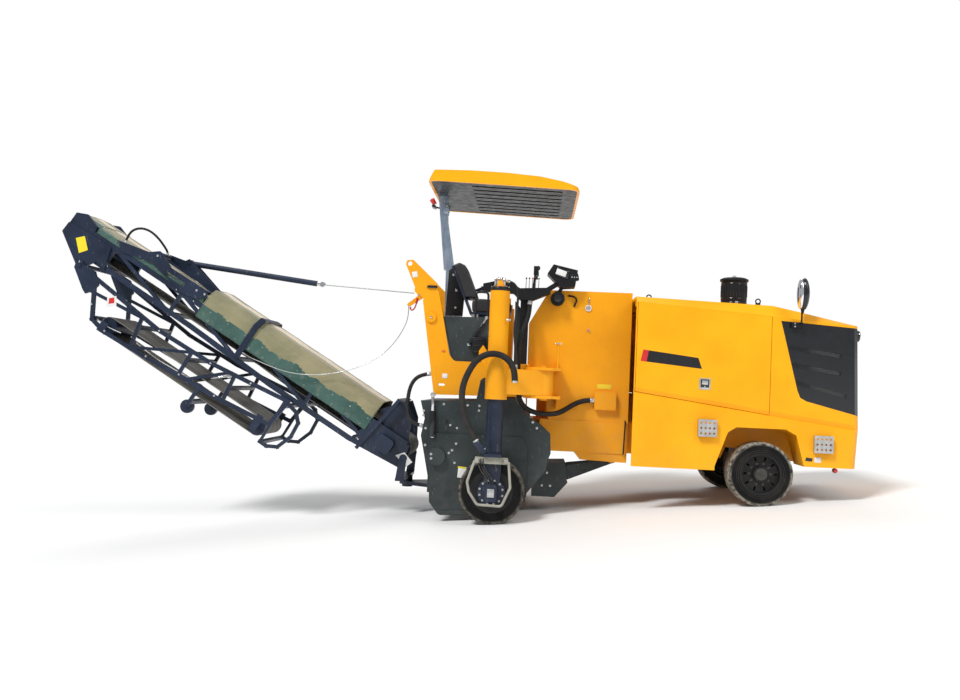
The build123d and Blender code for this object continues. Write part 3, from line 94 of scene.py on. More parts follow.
# ---- hoses and safety wire ----
# name, body, diameter and length, then the route in the machine's frame, all millimetres
HOSES = [
    ("hose_wheel", "leg_right", 62, 1473,
     [(190, -1492, 1160), (188, -1492, 1300), (90, -1492, 1419), (-61, -1492, 1451),
      (-199, -1492, 1382), (-294, -1492, 1217), (-337, -1492, 1058), (-320, -1492, 869),
      (-255, -1492, 691), (-165, -1492, 560)]),
    ("hose_bundle", "chassis", 52, 2221,
     [(300, -700, 2059.7), (300, -700, 1945), (268, -782, 1806), (226, -915, 1680),
      (208, -1016, 1550), (206, -1052, 1400), (210, -1054, 1240), (216, -1052, 1090),
      (246, -1036, 955), (336, -1000, 878), (460, -945, 846), (600, -860, 846), (690, -762, 874),
      (770, -682, 926), (860, -620, 978), (962, -580, 1008), (1042.2, -580, 1008)]),
    ("hose_column", "swing_arm", 24, 974,
     [(52.8, -1318, 2190), (107, -1318, 2187), (155, -1318, 2152), (180, -1318, 2092),
      (184, -1318, 1990), (172, -1318, 1860), (160, -1318, 1720), (168, -1314, 1580),
      (184, -1292, 1468), (194, -1272, 1376), (194, -1272, 1299.3)]),
    ("hose_rear", "chassis", 40, 802,
     [(-715.3, -872, 1222), (-786.5, -872, 1210.6), (-868, -892, 1175), (-918, -912, 1105),
      (-942, -926, 1010), (-950, -930, 905), (-945, -930, 805), (-912, -930, 722),
      (-850.5, -930, 676), (-764.6, -930, 660.1)]),
    ("hose_stay", "conveyor", 26, 718,
     [(-4345.5, -438, 2565.5), (-4316, -438, 2655), (-4262, -420, 2725), (-4186, -370, 2752),
      (-4112, -304, 2728), (-4050, -240, 2666), (-4000, -185, 2588), (-3962, -150, 2516),
      (-3956, -142, 2478)]),
    ("wire_right", "conveyor", 9, 2323,
     [(-1052, -436, 1968), (-1052, -436, 1852), (-1086, -436, 1740), (-1143, -437, 1632),
      (-1210, -441, 1533), (-1290, -446, 1445), (-1382, -452, 1370), (-1484, -461, 1308),
      (-1593, -470, 1258), (-1706, -478, 1217), (-1822, -484, 1187), (-1939, -488, 1165),
      (-2057, -490, 1153), (-2175, -490, 1150), (-2294, -488, 1158), (-2411, -484, 1178),
      (-2525, -476, 1209), (-2632, -466, 1246), (-2730, -456, 1283), (-2826, -448.2, 1316.1),
      (-2911.8, -448.2, 1367.4)]),
]


def round_curve(name, points, radius):
    """NURBS curve from its first point to its last; the points carry the section's radius."""
    curve = bpy.data.curves.new(name, "CURVE")
    curve.dimensions = "3D"
    spline = curve.splines.new("NURBS")
    spline.points.add(len(points) - 1)
    for point, place in zip(spline.points, points):
        point.co = (*place, 1)
        point.radius = radius
    spline.order_u = 3
    spline.use_endpoint_u = True
    spline.resolution_u = 8
    curve.bevel_depth = 1 if radius else 0
    curve.bevel_resolution = 4
    curve.use_fill_caps = True
    return curve


def centreline(points):
    """Points that the same NURBS runs through, read from a curve with no section."""
    curve = round_curve("line", points, 0)
    curve.splines[0].resolution_u = 24
    thing = bpy.data.objects.new("line", curve)
    line = bpy.data.meshes.new_from_object(thing)
    read = [v.co.copy() for v in line.vertices]
    bpy.data.objects.remove(thing)
    bpy.data.curves.remove(curve)
    bpy.data.meshes.remove(line)
    return read


hose_objects, hose_lines = {}, {}
for name, body, diameter, _, route in HOSES:
    points = [MACHINE @ Vector(p) for p in route]
    hose = added(name + "_cord", round_curve(name + "_cord", points, diameter / 2000))
    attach(hose, body)
    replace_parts(hose, name)
    hose_objects[name] = hose
    hose_lines[name] = centreline(points)


# ---- materials ----
def shader(name):
    """New material with its node tree, its main shader and the object coordinates."""
    material = bpy.data.materials.new(name)
    material.use_nodes = True
    tree = material.node_tree
    place = tree.nodes.new("ShaderNodeTexCoord").outputs["Object"]
    return material, tree, tree.nodes["Principled BSDF"], place


def noise_map(tree, place, scale, detail, stretch=None):
    if stretch:
        mapping = tree.nodes.new("ShaderNodeMapping")
        mapping.inputs["Scale"].default_value = stretch
        tree.links.new(place, mapping.inputs["Vector"])
        place = mapping.outputs["Vector"]
    texture = tree.nodes.new("ShaderNodeTexNoise")
    texture.inputs["Scale"].default_value = scale
    texture.inputs["Detail"].default_value = detail
    tree.links.new(place, texture.inputs["Vector"])
    return texture.outputs["Fac"]


def ranged(tree, value, low, high, to_low, to_high):
    node = tree.nodes.new("ShaderNodeMapRange")
    for socket, number in zip(("From Min", "From Max", "To Min", "To Max"),
                              (low, high, to_low, to_high)):
        node.inputs[socket].default_value = number
    tree.links.new(value, node.inputs["Value"])
    return node.outputs["Result"]


def patchy(tree, place, scale, detail, low, high, to_low, to_high, stretch=None):
    """Noise between two of its values, read as a number between two others."""
    return ranged(tree, noise_map(tree, place, scale, detail, stretch), low, high, to_low, to_high)


def mixed(tree, factor, first, second):
    """Colour between two; each is a colour or another node's output."""
    node = tree.nodes.new("ShaderNodeMix")
    node.data_type = "RGBA"
    tree.links.new(factor, node.inputs["Factor"])
    for socket, colour in ((node.inputs[6], first), (node.inputs[7], second)):
        if isinstance(colour, tuple):
            socket.default_value = (*colour, 1)
        else:
            tree.links.new(colour, socket)
    return node.outputs[2]


def times(tree, first, second):
    node = tree.nodes.new("ShaderNodeMath")
    node.operation = "MULTIPLY"
    node.use_clamp = True
    for socket, value in zip(node.inputs, (first, second)):
        if isinstance(value, (int, float)):
            socket.default_value = value
        else:
            tree.links.new(value, socket)
    return node.outputs[0]


def bumped(tree, main, height, strength, distance):
    node = tree.nodes.new("ShaderNodeBump")
    node.inputs["Strength"].default_value = strength
    node.inputs["Distance"].default_value = distance
    tree.links.new(height, node.inputs["Height"])
    tree.links.new(node.outputs["Normal"], main.inputs["Normal"])


DUST = (0.30, 0.27, 0.22)


def surface(name, colour, second, rough, metal=0, coat=0, dust=0, dust_top=1.6, patch=2.5,
            grain=700, grain_depth=0.0004, stretch=None, specular=0.5, scuff=0,
            scuff_colour=(0.35, 0.35, 0.36)):
    """Painted, moulded or bare: two tones in patches, dust low down, scuffs, a fine grain."""
    material, tree, main, place = shader(name)
    patches = patchy(tree, place, patch, 5, 0.35, 0.68, 0, 1, stretch)
    tone = mixed(tree, patches, colour, second)
    if scuff:
        marks = patchy(tree, place, 38, 8, 0.63, 0.72, 0, scuff, (1, 1, 0.35))
        tone = mixed(tree, marks, tone, scuff_colour)
    if dust:
        apart = tree.nodes.new("ShaderNodeSeparateXYZ")
        tree.links.new(place, apart.inputs[0])
        low = ranged(tree, apart.outputs["Z"], dust_top, 0.1, 0, 1)
        blotch = patchy(tree, place, 9, 6, 0.38, 0.72, 0.15, 1)
        tone = mixed(tree, times(tree, times(tree, low, blotch), dust), tone, DUST)
    tree.links.new(tone, main.inputs["Base Color"])
    tree.links.new(patchy(tree, place, 14, 4, 0.3, 0.7, *rough), main.inputs["Roughness"])
    bumped(tree, main, noise_map(tree, place, grain, 3, stretch), 0.35, grain_depth)
    main.inputs["Metallic"].default_value = metal
    main.inputs["Coat Weight"].default_value = coat
    main.inputs["Coat Roughness"].default_value = 0.12
    main.inputs["Specular IOR Level"].default_value = specular
    return material


def tyre_material(name, x, z, scuffed):
    """Solid rubber, paler and scuffed in a ring near the tread."""
    material, tree, main, place = shader(name)
    middle = MACHINE @ Vector((x, 0, z))
    mapping = tree.nodes.new("ShaderNodeMapping")
    mapping.inputs["Location"].default_value = (-middle.x, 0, -middle.z)
    tree.links.new(place, mapping.inputs["Vector"])
    flat = tree.nodes.new("ShaderNodeVectorMath")
    flat.operation = "MULTIPLY"
    flat.inputs[1].default_value = (1, 0, 1)
    tree.links.new(mapping.outputs["Vector"], flat.inputs[0])
    far = tree.nodes.new("ShaderNodeVectorMath")
    far.operation = "LENGTH"
    tree.links.new(flat.outputs[0], far.inputs[0])
    ring = ranged(tree, far.outputs["Value"], 0.292, 0.318, 0, 1)
    spots = patchy(tree, place, 24, 7, 0.36, 0.62, 0.1, 1)
    share = times(tree, times(tree, ring, spots), scuffed)
    worn = mixed(tree, share, (0.007, 0.007, 0.007), (0.36, 0.33, 0.27))
    dirt = patchy(tree, place, 6, 6, 0.5, 0.85, 0, 0.16)
    dusty = mixed(tree, dirt, worn, (0.12, 0.10, 0.08))
    tree.links.new(dusty, main.inputs["Base Color"])
    tree.links.new(patchy(tree, place, 30, 4, 0.3, 0.7, 0.6, 0.9), main.inputs["Roughness"])
    bumped(tree, main, noise_map(tree, place, 220, 6), 0.6, 0.0015)
    main.inputs["Specular IOR Level"].default_value = 0.15
    return material


def cloth_material(name, colour, second):
    """Coated canvas: a plain weave, faded patches and dust."""
    material, tree, main, place = shader(name)
    faded = mixed(tree, patchy(tree, place, 3.2, 6, 0.32, 0.7, 0, 1), colour, second)
    dirt = patchy(tree, place, 12, 7, 0.55, 0.85, 0, 0.3)
    dusty = mixed(tree, dirt, faded, (0.34, 0.31, 0.23))
    tree.links.new(dusty, main.inputs["Base Color"])
    threads = []
    for direction in ("X", "Z"):
        wave = tree.nodes.new("ShaderNodeTexWave")
        wave.bands_direction = direction
        wave.inputs["Scale"].default_value = 420
        tree.links.new(place, wave.inputs["Vector"])
        threads.append(wave.outputs["Fac"])
    folds = noise_map(tree, place, 5, 3, (1.0, 1.0, 2.2))
    weave_and_folds = tree.nodes.new("ShaderNodeMath")
    weave_and_folds.operation = "MULTIPLY_ADD"
    tree.links.new(folds, weave_and_folds.inputs[0])
    weave_and_folds.inputs[1].default_value = 26
    tree.links.new(times(tree, *threads), weave_and_folds.inputs[2])
    bumped(tree, main, weave_and_folds.outputs[0], 0.55, 0.0009)
    tree.links.new(patchy(tree, place, 20, 4, 0.3, 0.7, 0.55, 0.85), main.inputs["Roughness"])
    main.inputs["Sheen Weight"].default_value = 0.25
    return material


yellow = surface("yellow_paint", (0.93, 0.385, 0.002), (0.98, 0.44, 0.004), rough=(0.3, 0.42),
                 coat=0.12, dust=0.12, dust_top=0.7, grain_depth=0.00015, specular=0.22)
yellow_frame = surface("yellow_frame", (0.84, 0.34, 0.004), (0.92, 0.385, 0.004),
                       rough=(0.35, 0.5), coat=0.08, specular=0.22, dust=0.2, dust_top=1.7,
                       scuff=0.12, scuff_colour=(0.30, 0.16, 0.03))
navy = surface("black_paint", (0.010, 0.017, 0.036), (0.019, 0.031, 0.062), rough=(0.3, 0.5),
               coat=0.12, specular=0.25, dust=0.06, dust_top=2.0, scuff=0.2)
slate = surface("slate_paint", (0.020, 0.027, 0.029), (0.044, 0.056, 0.057), rough=(0.4, 0.55),
                coat=0.06, specular=0.25, dust=0.12, dust_top=0.8, scuff=0.35,
                scuff_colour=(0.20, 0.21, 0.20))
black = surface("black_plastic", (0.007, 0.007, 0.008), (0.012, 0.012, 0.014), rough=(0.32, 0.5),
                grain=420, grain_depth=0.0006, dust=0.05, specular=0.25)
gloss = surface("gloss_plastic", (0.010, 0.011, 0.013), (0.014, 0.015, 0.018), rough=(0.14, 0.24),
                coat=0.3, grain_depth=0.0001, patch=1.2, specular=0.4)
rubber = surface("rubber", (0.016, 0.016, 0.016), (0.028, 0.027, 0.026), rough=(0.5, 0.75),
                 grain=260, grain_depth=0.0008, dust=0.12, dust_top=2.0, specular=0.25)
belt_rubber = surface("belt_rubber", (0.17, 0.165, 0.155), (0.30, 0.28, 0.25), rough=(0.6, 0.85),
                      grain=160, grain_depth=0.0012, patch=4, stretch=(0.4, 3, 0.4))
dark_metal = surface("dark_metal", (0.045, 0.044, 0.042), (0.09, 0.085, 0.078), rough=(0.35, 0.6),
                     metal=0.7, scuff=0.4, dust=0.1, dust_top=0.8)
pick_steel = surface("pick_steel", (0.16, 0.15, 0.14), (0.30, 0.28, 0.25), rough=(0.35, 0.6),
                     metal=0.85, scuff=0.5)
zinc = surface("zinc_steel", (0.62, 0.63, 0.62), (0.45, 0.46, 0.46), rough=(0.25, 0.42),
               metal=0.85, patch=14)
guard_grey = surface("guard_grey", (0.40, 0.39, 0.33), (0.26, 0.25, 0.21), rough=(0.35, 0.5),
                     patch=9, scuff=0.3)
chrome = surface("chrome", (0.80, 0.81, 0.83), (0.70, 0.71, 0.73), rough=(0.06, 0.14), metal=1.0)
mast_steel = surface("mast_steel", (0.24, 0.32, 0.42), (0.42, 0.50, 0.60), rough=(0.22, 0.4),
                     metal=0.75, patch=6, stretch=(3, 3, 0.5))
white = surface("white_plate", (0.80, 0.80, 0.78), (0.72, 0.72, 0.70), rough=(0.3, 0.45))
lemon = surface("yellow_plate", (0.90, 0.72, 0.02), (0.82, 0.64, 0.02), rough=(0.3, 0.45))
red = surface("red_paint", (0.70, 0.02, 0.015), (0.55, 0.015, 0.012), rough=(0.2, 0.35), coat=0.6)
amber = surface("amber_lens", (0.85, 0.17, 0.01), (0.70, 0.12, 0.01), rough=(0.1, 0.2), coat=0.9)
cream = cloth_material("cover_cream", (0.78, 0.66, 0.48), (0.66, 0.55, 0.38))
# khaki is the canvas as it looks lit on the slopes; green is the same canvas as painted shade on
# its upright sides
khaki_lit = cloth_material("cover_khaki_lit", (0.30, 0.265, 0.145), (0.19, 0.185, 0.10))
green_shaded = cloth_material("cover_green_shaded", (0.022, 0.075, 0.062), (0.05, 0.12, 0.095))
vinyl = surface("seat_vinyl", (0.014, 0.014, 0.015), (0.022, 0.022, 0.024), rough=(0.38, 0.55),
                grain=300, grain_depth=0.0009)
glass = surface("mirror_glass", (0.88, 0.90, 0.93), (0.86, 0.88, 0.91), rough=(0.02, 0.03),
                metal=1.0, grain_depth=0.00001)

LOOKS = {
    yellow: "body_shell door_right door_left canopy_roof",
    yellow_frame: "chassis_frame rear_frame swing_bracket swing_arm sleeve_left",
    navy: "conveyor_foot foot_bracket conveyor_frame fold_frame stay_barrel scraper seat_frame "
          "leg_right leg_left",
    dark_metal: "engine_block front_axle knuckle_right knuckle_left",
    slate: "drum_housing side_plate_right deck_panels hold_down",
    gloss: "nose_grilles",
    black: "console canopy_liner intake_stack mirror_right front_rim_right front_rim_left "
           "rear_rim_right rear_rim_left",
    mast_steel: "canopy_mast",
    guard_grey: "guard_bar",
    chrome: "stay_rod",
    zinc: "step_plates stay_rope wire_right",
    pick_steel: "milling_drum",
    belt_rubber: "conveyor_belt fold_belt",
    rubber: "hose_wheel hose_bundle hose_column hose_rear hose_stay",
    khaki_lit: "conveyor_cover",
    vinyl: "seat_cushions",
}


def dress(node, material):
    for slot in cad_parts[node].material_slots:
        slot.material = material


for material, names in LOOKS.items():
    for name in names.split():
        dress(name, material)
for end, x, z, scuffed in (("front", FRONT_X, FRONT_Z, 1.0), ("rear", REAR_X, REAR_Z, 0.45)):
    for side in ("right", "left"):
        name = f"{end}_tyre_{side}"
        dress(name, tyre_material(name + "_rubber", x, z, scuffed))


# ---- small pieces, gathered by body ----
SHARP = radians(38)


def corners(x, z, half_width, half_height):
    """The four corners round a centre."""
    return [(x + i * half_width, z + j * half_height) for i in (-1, 1) for j in (-1, 1)]


def circle(centre, radius, count, start=0):
    """Evenly spaced places round a centre, the first one a share of a step along."""
    turns = [2 * pi * (k + start) / count for k in range(count)]
    return [(centre[0] + radius * cos(a), centre[1] + radius * sin(a)) for a in turns]


def join_rings(mesh, rings):
    """Faces between rings of vertices, the last ring joined to the first."""
    for ring, beside in zip(rings, rings[1:] + rings[:1]):
        for j in range(len(ring)):
            k = (j + 1) % len(ring)
            mesh.faces.new((ring[j], beside[j], beside[k], ring[k]))


def pushed_outline(outline, y, thick):
    """Solid with an outline in X and Z, from y to y + thick."""
    piece = bmesh.new()
    face = piece.faces.new([piece.verts.new((x, y, z)) for x, z in outline])
    pushed = bmesh.ops.extrude_face_region(piece, geom=[face])["geom"]
    moved = [v for v in pushed if isinstance(v, bmesh.types.BMVert)]
    bmesh.ops.translate(piece, vec=(0, thick, 0), verts=moved)
    return piece


def round_off(piece, edges, offset, segments=2, profile=0.5):
    bmesh.ops.bevel(piece, geom=edges, offset=offset, segments=segments, affect="EDGES",
                    profile=profile)


def aim(piece, centre, direction):
    """Turn a piece built along Z toward a direction and move it to a centre."""
    turn = UP.rotation_difference(Vector(direction)).to_matrix().to_4x4()
    bmesh.ops.transform(piece, matrix=Matrix.Translation(centre) @ turn, verts=piece.verts)


def finish_mesh(name, built, materials, body, place, sharp=SHARP):
    """Object from a bmesh in the machine's, the belt's or the row's frame, riding on a body."""
    bmesh.ops.transform(built, matrix=place, verts=built.verts)
    if place is BELT:  # a left-handed frame
        bmesh.ops.reverse_faces(built, faces=built.faces)
    mesh = bpy.data.meshes.new(name)
    built.to_mesh(mesh)
    built.free()
    for material in materials:
        mesh.materials.append(material)
    mesh.shade_smooth()
    mesh.set_sharp_from_angle(angle=sharp)
    thing = added(name, mesh)
    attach(thing, body)
    return thing


class Trim:
    """Fittings that ride on one body and share one mesh, all placed in one frame."""

    def __init__(self, name, body, slot, place=MACHINE):
        self.name, self.body, self.slot, self.place = name, body, slot, place
        self.mesh, self.materials = bmesh.new(), []

    def _join(self, piece, material):
        if material not in self.materials:
            self.materials.append(material)
        bmesh.ops.recalc_face_normals(piece, faces=piece.faces)
        for face in piece.faces:
            face.material_index = self.materials.index(material)
        one = bpy.data.meshes.new("piece")
        piece.to_mesh(one)
        piece.free()
        self.mesh.from_mesh(one)
        bpy.data.meshes.remove(one)

    def box(self, centre, size, material, turn=0, bevel=3):
        """Box with rounded edges, turned by some degrees about Y."""
        piece = bmesh.new()
        bmesh.ops.create_cube(piece, size=1)
        bmesh.ops.scale(piece, vec=size, verts=piece.verts)
        round_off(piece, piece.edges[:], min(bevel, 0.4 * min(size)))
        place = Matrix.Translation(centre) @ Matrix.Rotation(radians(turn), 4, "Y")
        bmesh.ops.transform(piece, matrix=place, verts=piece.verts)
        self._join(piece, material)

    def rod(self, start, end, radius, material, sides=20, bevel=2, tip=None):
        """Round bar or cone between two points, with its rims rounded."""
        start, end = Vector(start), Vector(end)
        run = end - start
        piece = bmesh.new()
        bmesh.ops.create_cone(piece, cap_ends=True, segments=sides, radius1=radius,
                              radius2=radius if tip is None else tip, depth=run.length)
        rims = [e for e in piece.edges
                if abs(e.verts[0].co.z - e.verts[1].co.z) < run.length / 2]
        round_off(piece, rims, min(bevel, 0.3 * run.length, 0.4 * radius))
        aim(piece, (start + end) / 2, run)
        self._join(piece, material)

    def bolt(self, at, axis, size, material=zinc):
        """Hexagon head on its washer, its axis pointing outward."""
        at, axis = Vector(at), Vector(axis).normalized()
        washer, head = at + axis * size * 0.25, at + axis * size * 0.95
        self.rod(at, washer, size * 1.05, material, sides=14, bevel=0.6)
        self.rod(washer, head, size * 0.72, material, sides=6, bevel=1)

    def bolts(self, places, y, size, side=-1, material=zinc):
        """Bolts on one upright face, at pairs of X and Z."""
        for x, z in places:
            self.bolt((x, y, z), (0, side, 0), size, material)

    def ring(self, centre, axis, radius, wire, material, sides=36, around=8):
        piece = bmesh.new()
        rings = []
        for i in range(sides):
            a = 2 * pi * i / sides
            rings.append([piece.verts.new(((radius + wire * cos(b)) * cos(a),
                                           (radius + wire * cos(b)) * sin(a), wire * sin(b)))
                          for b in (2 * pi * j / around for j in range(around))])
        join_rings(piece, rings)
        aim(piece, centre, axis)
        self._join(piece, material)

    def slab(self, outline, y, thick, material, bevel=0):
        """Plate with an outline in X and Z, from y to y + thick."""
        piece = pushed_outline(outline, y, thick)
        if bevel:
            round_off(piece, piece.edges[:], bevel)
        self._join(piece, material)

    def ball(self, centre, radii, material, sides=24, rings=14):
        piece = bmesh.new()
        bmesh.ops.create_uvsphere(piece, u_segments=sides, v_segments=rings, radius=1)
        bmesh.ops.scale(piece, vec=radii, verts=piece.verts)
        bmesh.ops.translate(piece, vec=centre, verts=piece.verts)
        self._join(piece, material)

    def pipe(self, points, radius, material):
        """Smooth bent pipe along control points."""
        curve = round_curve("pipe", [Vector(p) for p in points], radius)
        thing = bpy.data.objects.new("pipe", curve)
        one = bpy.data.meshes.new_from_object(thing)
        piece = bmesh.new()
        piece.from_mesh(one)
        bmesh.ops.remove_doubles(piece, verts=piece.verts, dist=radius * 0.01)
        bpy.data.objects.remove(thing)
        bpy.data.meshes.remove(one)
        bpy.data.curves.remove(curve)
        self._join(piece, material)

    def done(self):
        return finish_mesh(self.name, self.mesh, self.materials, self.body, self.place)


# ---- hose surfaces ----
# rings round each hose: end of the name, radius, wire and gap in metres, material
WRAPS = {
    "hose_wheel": ("_ribs", 0.0305, 0.0028, 0.0105, rubber),
    "hose_bundle": ("_wrap", 0.0262, 0.0022, 0.017, black),
    "hose_column": ("_wrap", 0.0121, 0.0012, 0.012, black),
    "hose_rear": ("_wrap", 0.0201, 0.0018, 0.014, black),
    "hose_stay": ("_wrap", 0.0131, 0.0012, 0.012, black),
}
# steel at both ends of each: end of the name, radius and length in metres
ENDS = {
    "hose_wheel": ("_clamps", 0.0335, 0.02),
    "hose_bundle": ("_ferrules", 0.0285, 0.045),
    "hose_column": ("_ferrules", 0.0140, 0.045),
    "hose_rear": ("_ferrules", 0.0225, 0.045),
    "hose_stay": ("_ferrules", 0.0150, 0.03),
    "wire_right": ("_sleeves", 0.0068, 0.03),
}
BARE_END = 0.02


def stations(line, gap, bare=0):
    """Places and directions along a line, a gap apart, with a bare stretch at each end."""
    steps = [(b - a).length for a, b in zip(line, line[1:])]
    total, wanted, run, found = sum(steps), bare, 0, []
    for a, b, step in zip(line, line[1:], steps):
        while wanted <= run + step and wanted <= total - bare:
            found.append((a.lerp(b, (wanted - run) / step), (b - a).normalized()))
            wanted += gap
        run += step
    return found


def ribs(name, line, body, radius, wire, gap, material):
    """Rings along a hose, as on corrugated or spiral-wrapped hose."""
    built = bmesh.new()
    for place, ahead in stations(line, gap, BARE_END):
        side_way = ahead.orthogonal().normalized()
        across = ahead.cross(side_way)
        rings = []
        for a in (2 * pi * i / 18 for i in range(18)):
            out = cos(a) * side_way + sin(a) * across
            rings.append([built.verts.new(place + out * (radius + wire * cos(b))
                                          + ahead * wire * sin(b))
                          for b in (2 * pi * j / 6 for j in range(6))])
        join_rings(built, rings)
    bmesh.ops.recalc_face_normals(built, faces=built.faces)
    return finish_mesh(name, built, [material], body, Matrix())


def collars(name, line, body, radius, long):
    """Crimped steel sleeves at both ends of a hose."""
    trim = Trim(name, body, "steel", Matrix())
    for path in (line, line[::-1]):
        (here, _), (there, _) = stations(path, long)[:2]
        trim.rod(here, there, radius, zinc, bevel=0.002, sides=24)
        for share in (0.25, 0.5, 0.75):
            trim.ring(here.lerp(there, share), there - here, radius, 0.0012, zinc, 24, 6)
    return trim.done()


for name, body, diameter, length, route in HOSES:
    hose, line, bare_wire = hose_objects[name], hose_lines[name], name not in WRAPS
    if not bare_wire:
        ending, *sizes = WRAPS[name]
        ribs(name + ending, line, body, *sizes)
    ending, *sizes = ENDS[name]
    collars(name + ending, line, body, *sizes)
    hose.data.materials.append(zinc if bare_wire else rubber)

# ---- cover of the conveyor ----
# start and length up the belt, then the section: half width, foot, eaves, ridge half width and
# crown; and its girth in metres
COVERS = [
    ("low", 570, 2338, (440.5, 20, 300, 336, 398), 1.503),
    ("high", 2922, 1492, (429, 178.4, 240, 330, 286), 0.993),
    ("end", 4420, 280, (390.5, 205, 245, 330, 286), 0.874),
]
CLOTH = 2.5
CLOTH_INSET, HEM_INSET = 3.5, 3
HOOP_GAP, EYELET_GAP = 480, 190
SAG, CREASE, FOLD, DEEPEST = 7, 5.5, 3.5, 17
CELLS_ROUND, CELL = 110, 17
# shares of the girth: the green edge (painted shade), how much it wanders, and half the pale ridge
DRAPE, WANDER, RIDGE = 0.105, 0.035, 0.11


def cover_point(section, inset, share):
    """Point round the cover from its right foot over the crown, for a share of its girth."""
    half, foot, eaves, shoulder, crown = section
    half, eaves, shoulder, crown = half - inset, eaves - inset, shoulder - inset, crown - inset
    foot += 1
    turns = [(-half, foot), (-half, eaves), (-shoulder, crown - 12), (0, crown),
             (shoulder, crown - 12), (half, eaves), (half, foot)]
    steps = [(Vector(b) - Vector(a)).length for a, b in zip(turns, turns[1:])]
    left = share * sum(steps)
    for a, b, step in zip(turns, turns[1:], steps):
        if left <= step + 1e-6:
            return Vector(a).lerp(Vector(b), left / step)
        left -= step
    return Vector(turns[-1])


def cover_sheet(tag, start, length, section):
    """Stretched canvas over the hoops: it sags between them and creases inward from its edges."""
    built = bmesh.new()
    half, foot, _, _, crown = section
    middle = Vector((0, (foot + crown) / 2))
    across, ahead = CELLS_ROUND, max(24, int(length / CELL))
    bay = length / max(1, round(length / HOOP_GAP))
    rows = []
    for i in range(ahead + 1):
        d = start + 2 + (length - 4) * i / ahead
        hoop = 0.5 - 0.5 * cos(2 * pi * (d - start) / bay)
        row = []
        for j in range(across + 1):
            point = cover_point(section, CLOTH_INSET, j / across)
            free = sin(pi * j / across) ** 0.5
            crease = noise.fractal(Vector((d / 260, j / 16, half / 50)), 0.8, 2.0, 4)
            fold = noise.noise(Vector((d / 70 + j / 9, j / 7, 3.1)))
            depth = max(0.0, SAG * hoop * free + CREASE * crease + FOLD * fold)
            point += (middle - point).normalized() * min(depth, DEEPEST)
            row.append(built.verts.new((d, *point)))
        rows.append(row)
    for i in range(ahead):
        drape = DRAPE + WANDER * noise.noise(Vector((i / 7, 0.5, half)))
        for j in range(across):
            face = built.faces.new((rows[i][j], rows[i + 1][j], rows[i + 1][j + 1],
                                    rows[i][j + 1]))
            edge = min(j, across - 1 - j) / across
            ridge = abs(j + 0.5 - across / 2) / across < RIDGE
            # lit khaki on the slopes, green as painted shade on the upright sides, pale on the
            # ridge
            face.material_index = 2 if ridge else (1 if edge < drape else 0)
    sheet = finish_mesh("cover_" + tag, built, [khaki_lit, green_shaded, cream], "conveyor", BELT,
                        sharp=pi)
    thick = sheet.modifiers.new("cloth", "SOLIDIFY")
    thick.thickness = CLOTH / 1000
    thick.offset = 0
    return sheet


def cover_hem(tag, start, length, section):
    """Cord in both ends of a cover, and the eyelets along its sides."""
    rim = Trim("cover_" + tag + "_hem", "conveyor", "cover_cloth", BELT)
    for d in (start + 12, start + length - 12):
        for a in range(24):
            p, q = (cover_point(section, HEM_INSET, k / 24) for k in (a, a + 1))
            # cord coloured like the sheet: lit khaki over the top, green as painted shade at the
            # sides
            rim.rod((d, *p), (d, *q), 3.2, khaki_lit if 4 < a < 19 else green_shaded, sides=8, bevel=0.5)
    if tag != "end":
        for k in range(int(length / EYELET_GAP)):
            for side in (-1, 1):
                rim.ring((start + EYELET_GAP / 2 + EYELET_GAP * k, side * (section[0] - 1.5),
                          section[1] + 34), SIDE, 10, 2, zinc, 20, 6)
    return rim.done()


covers = []
for tag, start, length, section, girth in COVERS:
    sheet = cover_sheet(tag, start, length, section)
    covers.append(sheet)
    hem = cover_hem(tag, start, length, section)
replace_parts(covers[0], "conveyor_cover")

# ---- seat cushions ----
SEAT_RIGHT, SEAT_LEFT = -530, -70
CUSHIONS = {
    "seat_bottom": [(-335, 1925.3), (85, 1925.3), (100, 2010), (70, 2060), (-260, 2075),
                    (-340, 2050)],
    "seat_back": [(-415.9, 2085), (-285, 2085), (-430, 2440), (-500, 2470), (-566.2, 2440)],
}
CUSHION_INSET, CUSHION_ROUND = 12, 16
CUSHION_GIVE = 0.006
SEAM = 0.03
SWELL_FRAMES = 20


def baked(thing):
    """Mesh of an object as its modifiers leave it now."""
    graph = bpy.context.evaluated_depsgraph_get()
    return bpy.data.meshes.new_from_object(thing.evaluated_get(graph))


def swell(cushion):
    """Short cloth run that puffs a cushion up, its two side panels held at the seams."""
    bpy.context.view_layer.update()
    fine = baked(cushion)
    cushion.modifiers.clear()
    cushion.data = fine
    rest = [v.co.copy() for v in fine.vertices]
    middle = sum(rest, Vector()) / len(rest)
    seams = cushion.vertex_groups.new(name="seams")
    half = (SEAT_LEFT - SEAT_RIGHT) / 2000 - SEAM
    seams.add([i for i, p in enumerate(rest) if abs(p.y - middle.y) > half], 1.0, "REPLACE")
    cloth = cushion.modifiers.new("cloth", "CLOTH").settings
    cloth.quality = 5
    cloth.mass = 0.3
    cloth.tension_stiffness = 18
    cloth.compression_stiffness = 6
    cloth.use_pressure = True
    cloth.uniform_pressure_force = 4
    cloth.vertex_group_mass = "seams"
    cloth.effector_weights.gravity = 0
    cushion.modifiers["cloth"].point_cache.frame_end = SWELL_FRAMES
    for frame_number in range(1, SWELL_FRAMES + 1):
        scene.frame_set(frame_number)
    swelled = baked(cushion)
    cushion.modifiers.clear()
    for vertex, old in zip(swelled.vertices, rest):
        move = vertex.co - old
        if move.length > CUSHION_GIVE:
            vertex.co = old + move.normalized() * CUSHION_GIVE
    cushion.data = swelled
    scene.frame_set(1)


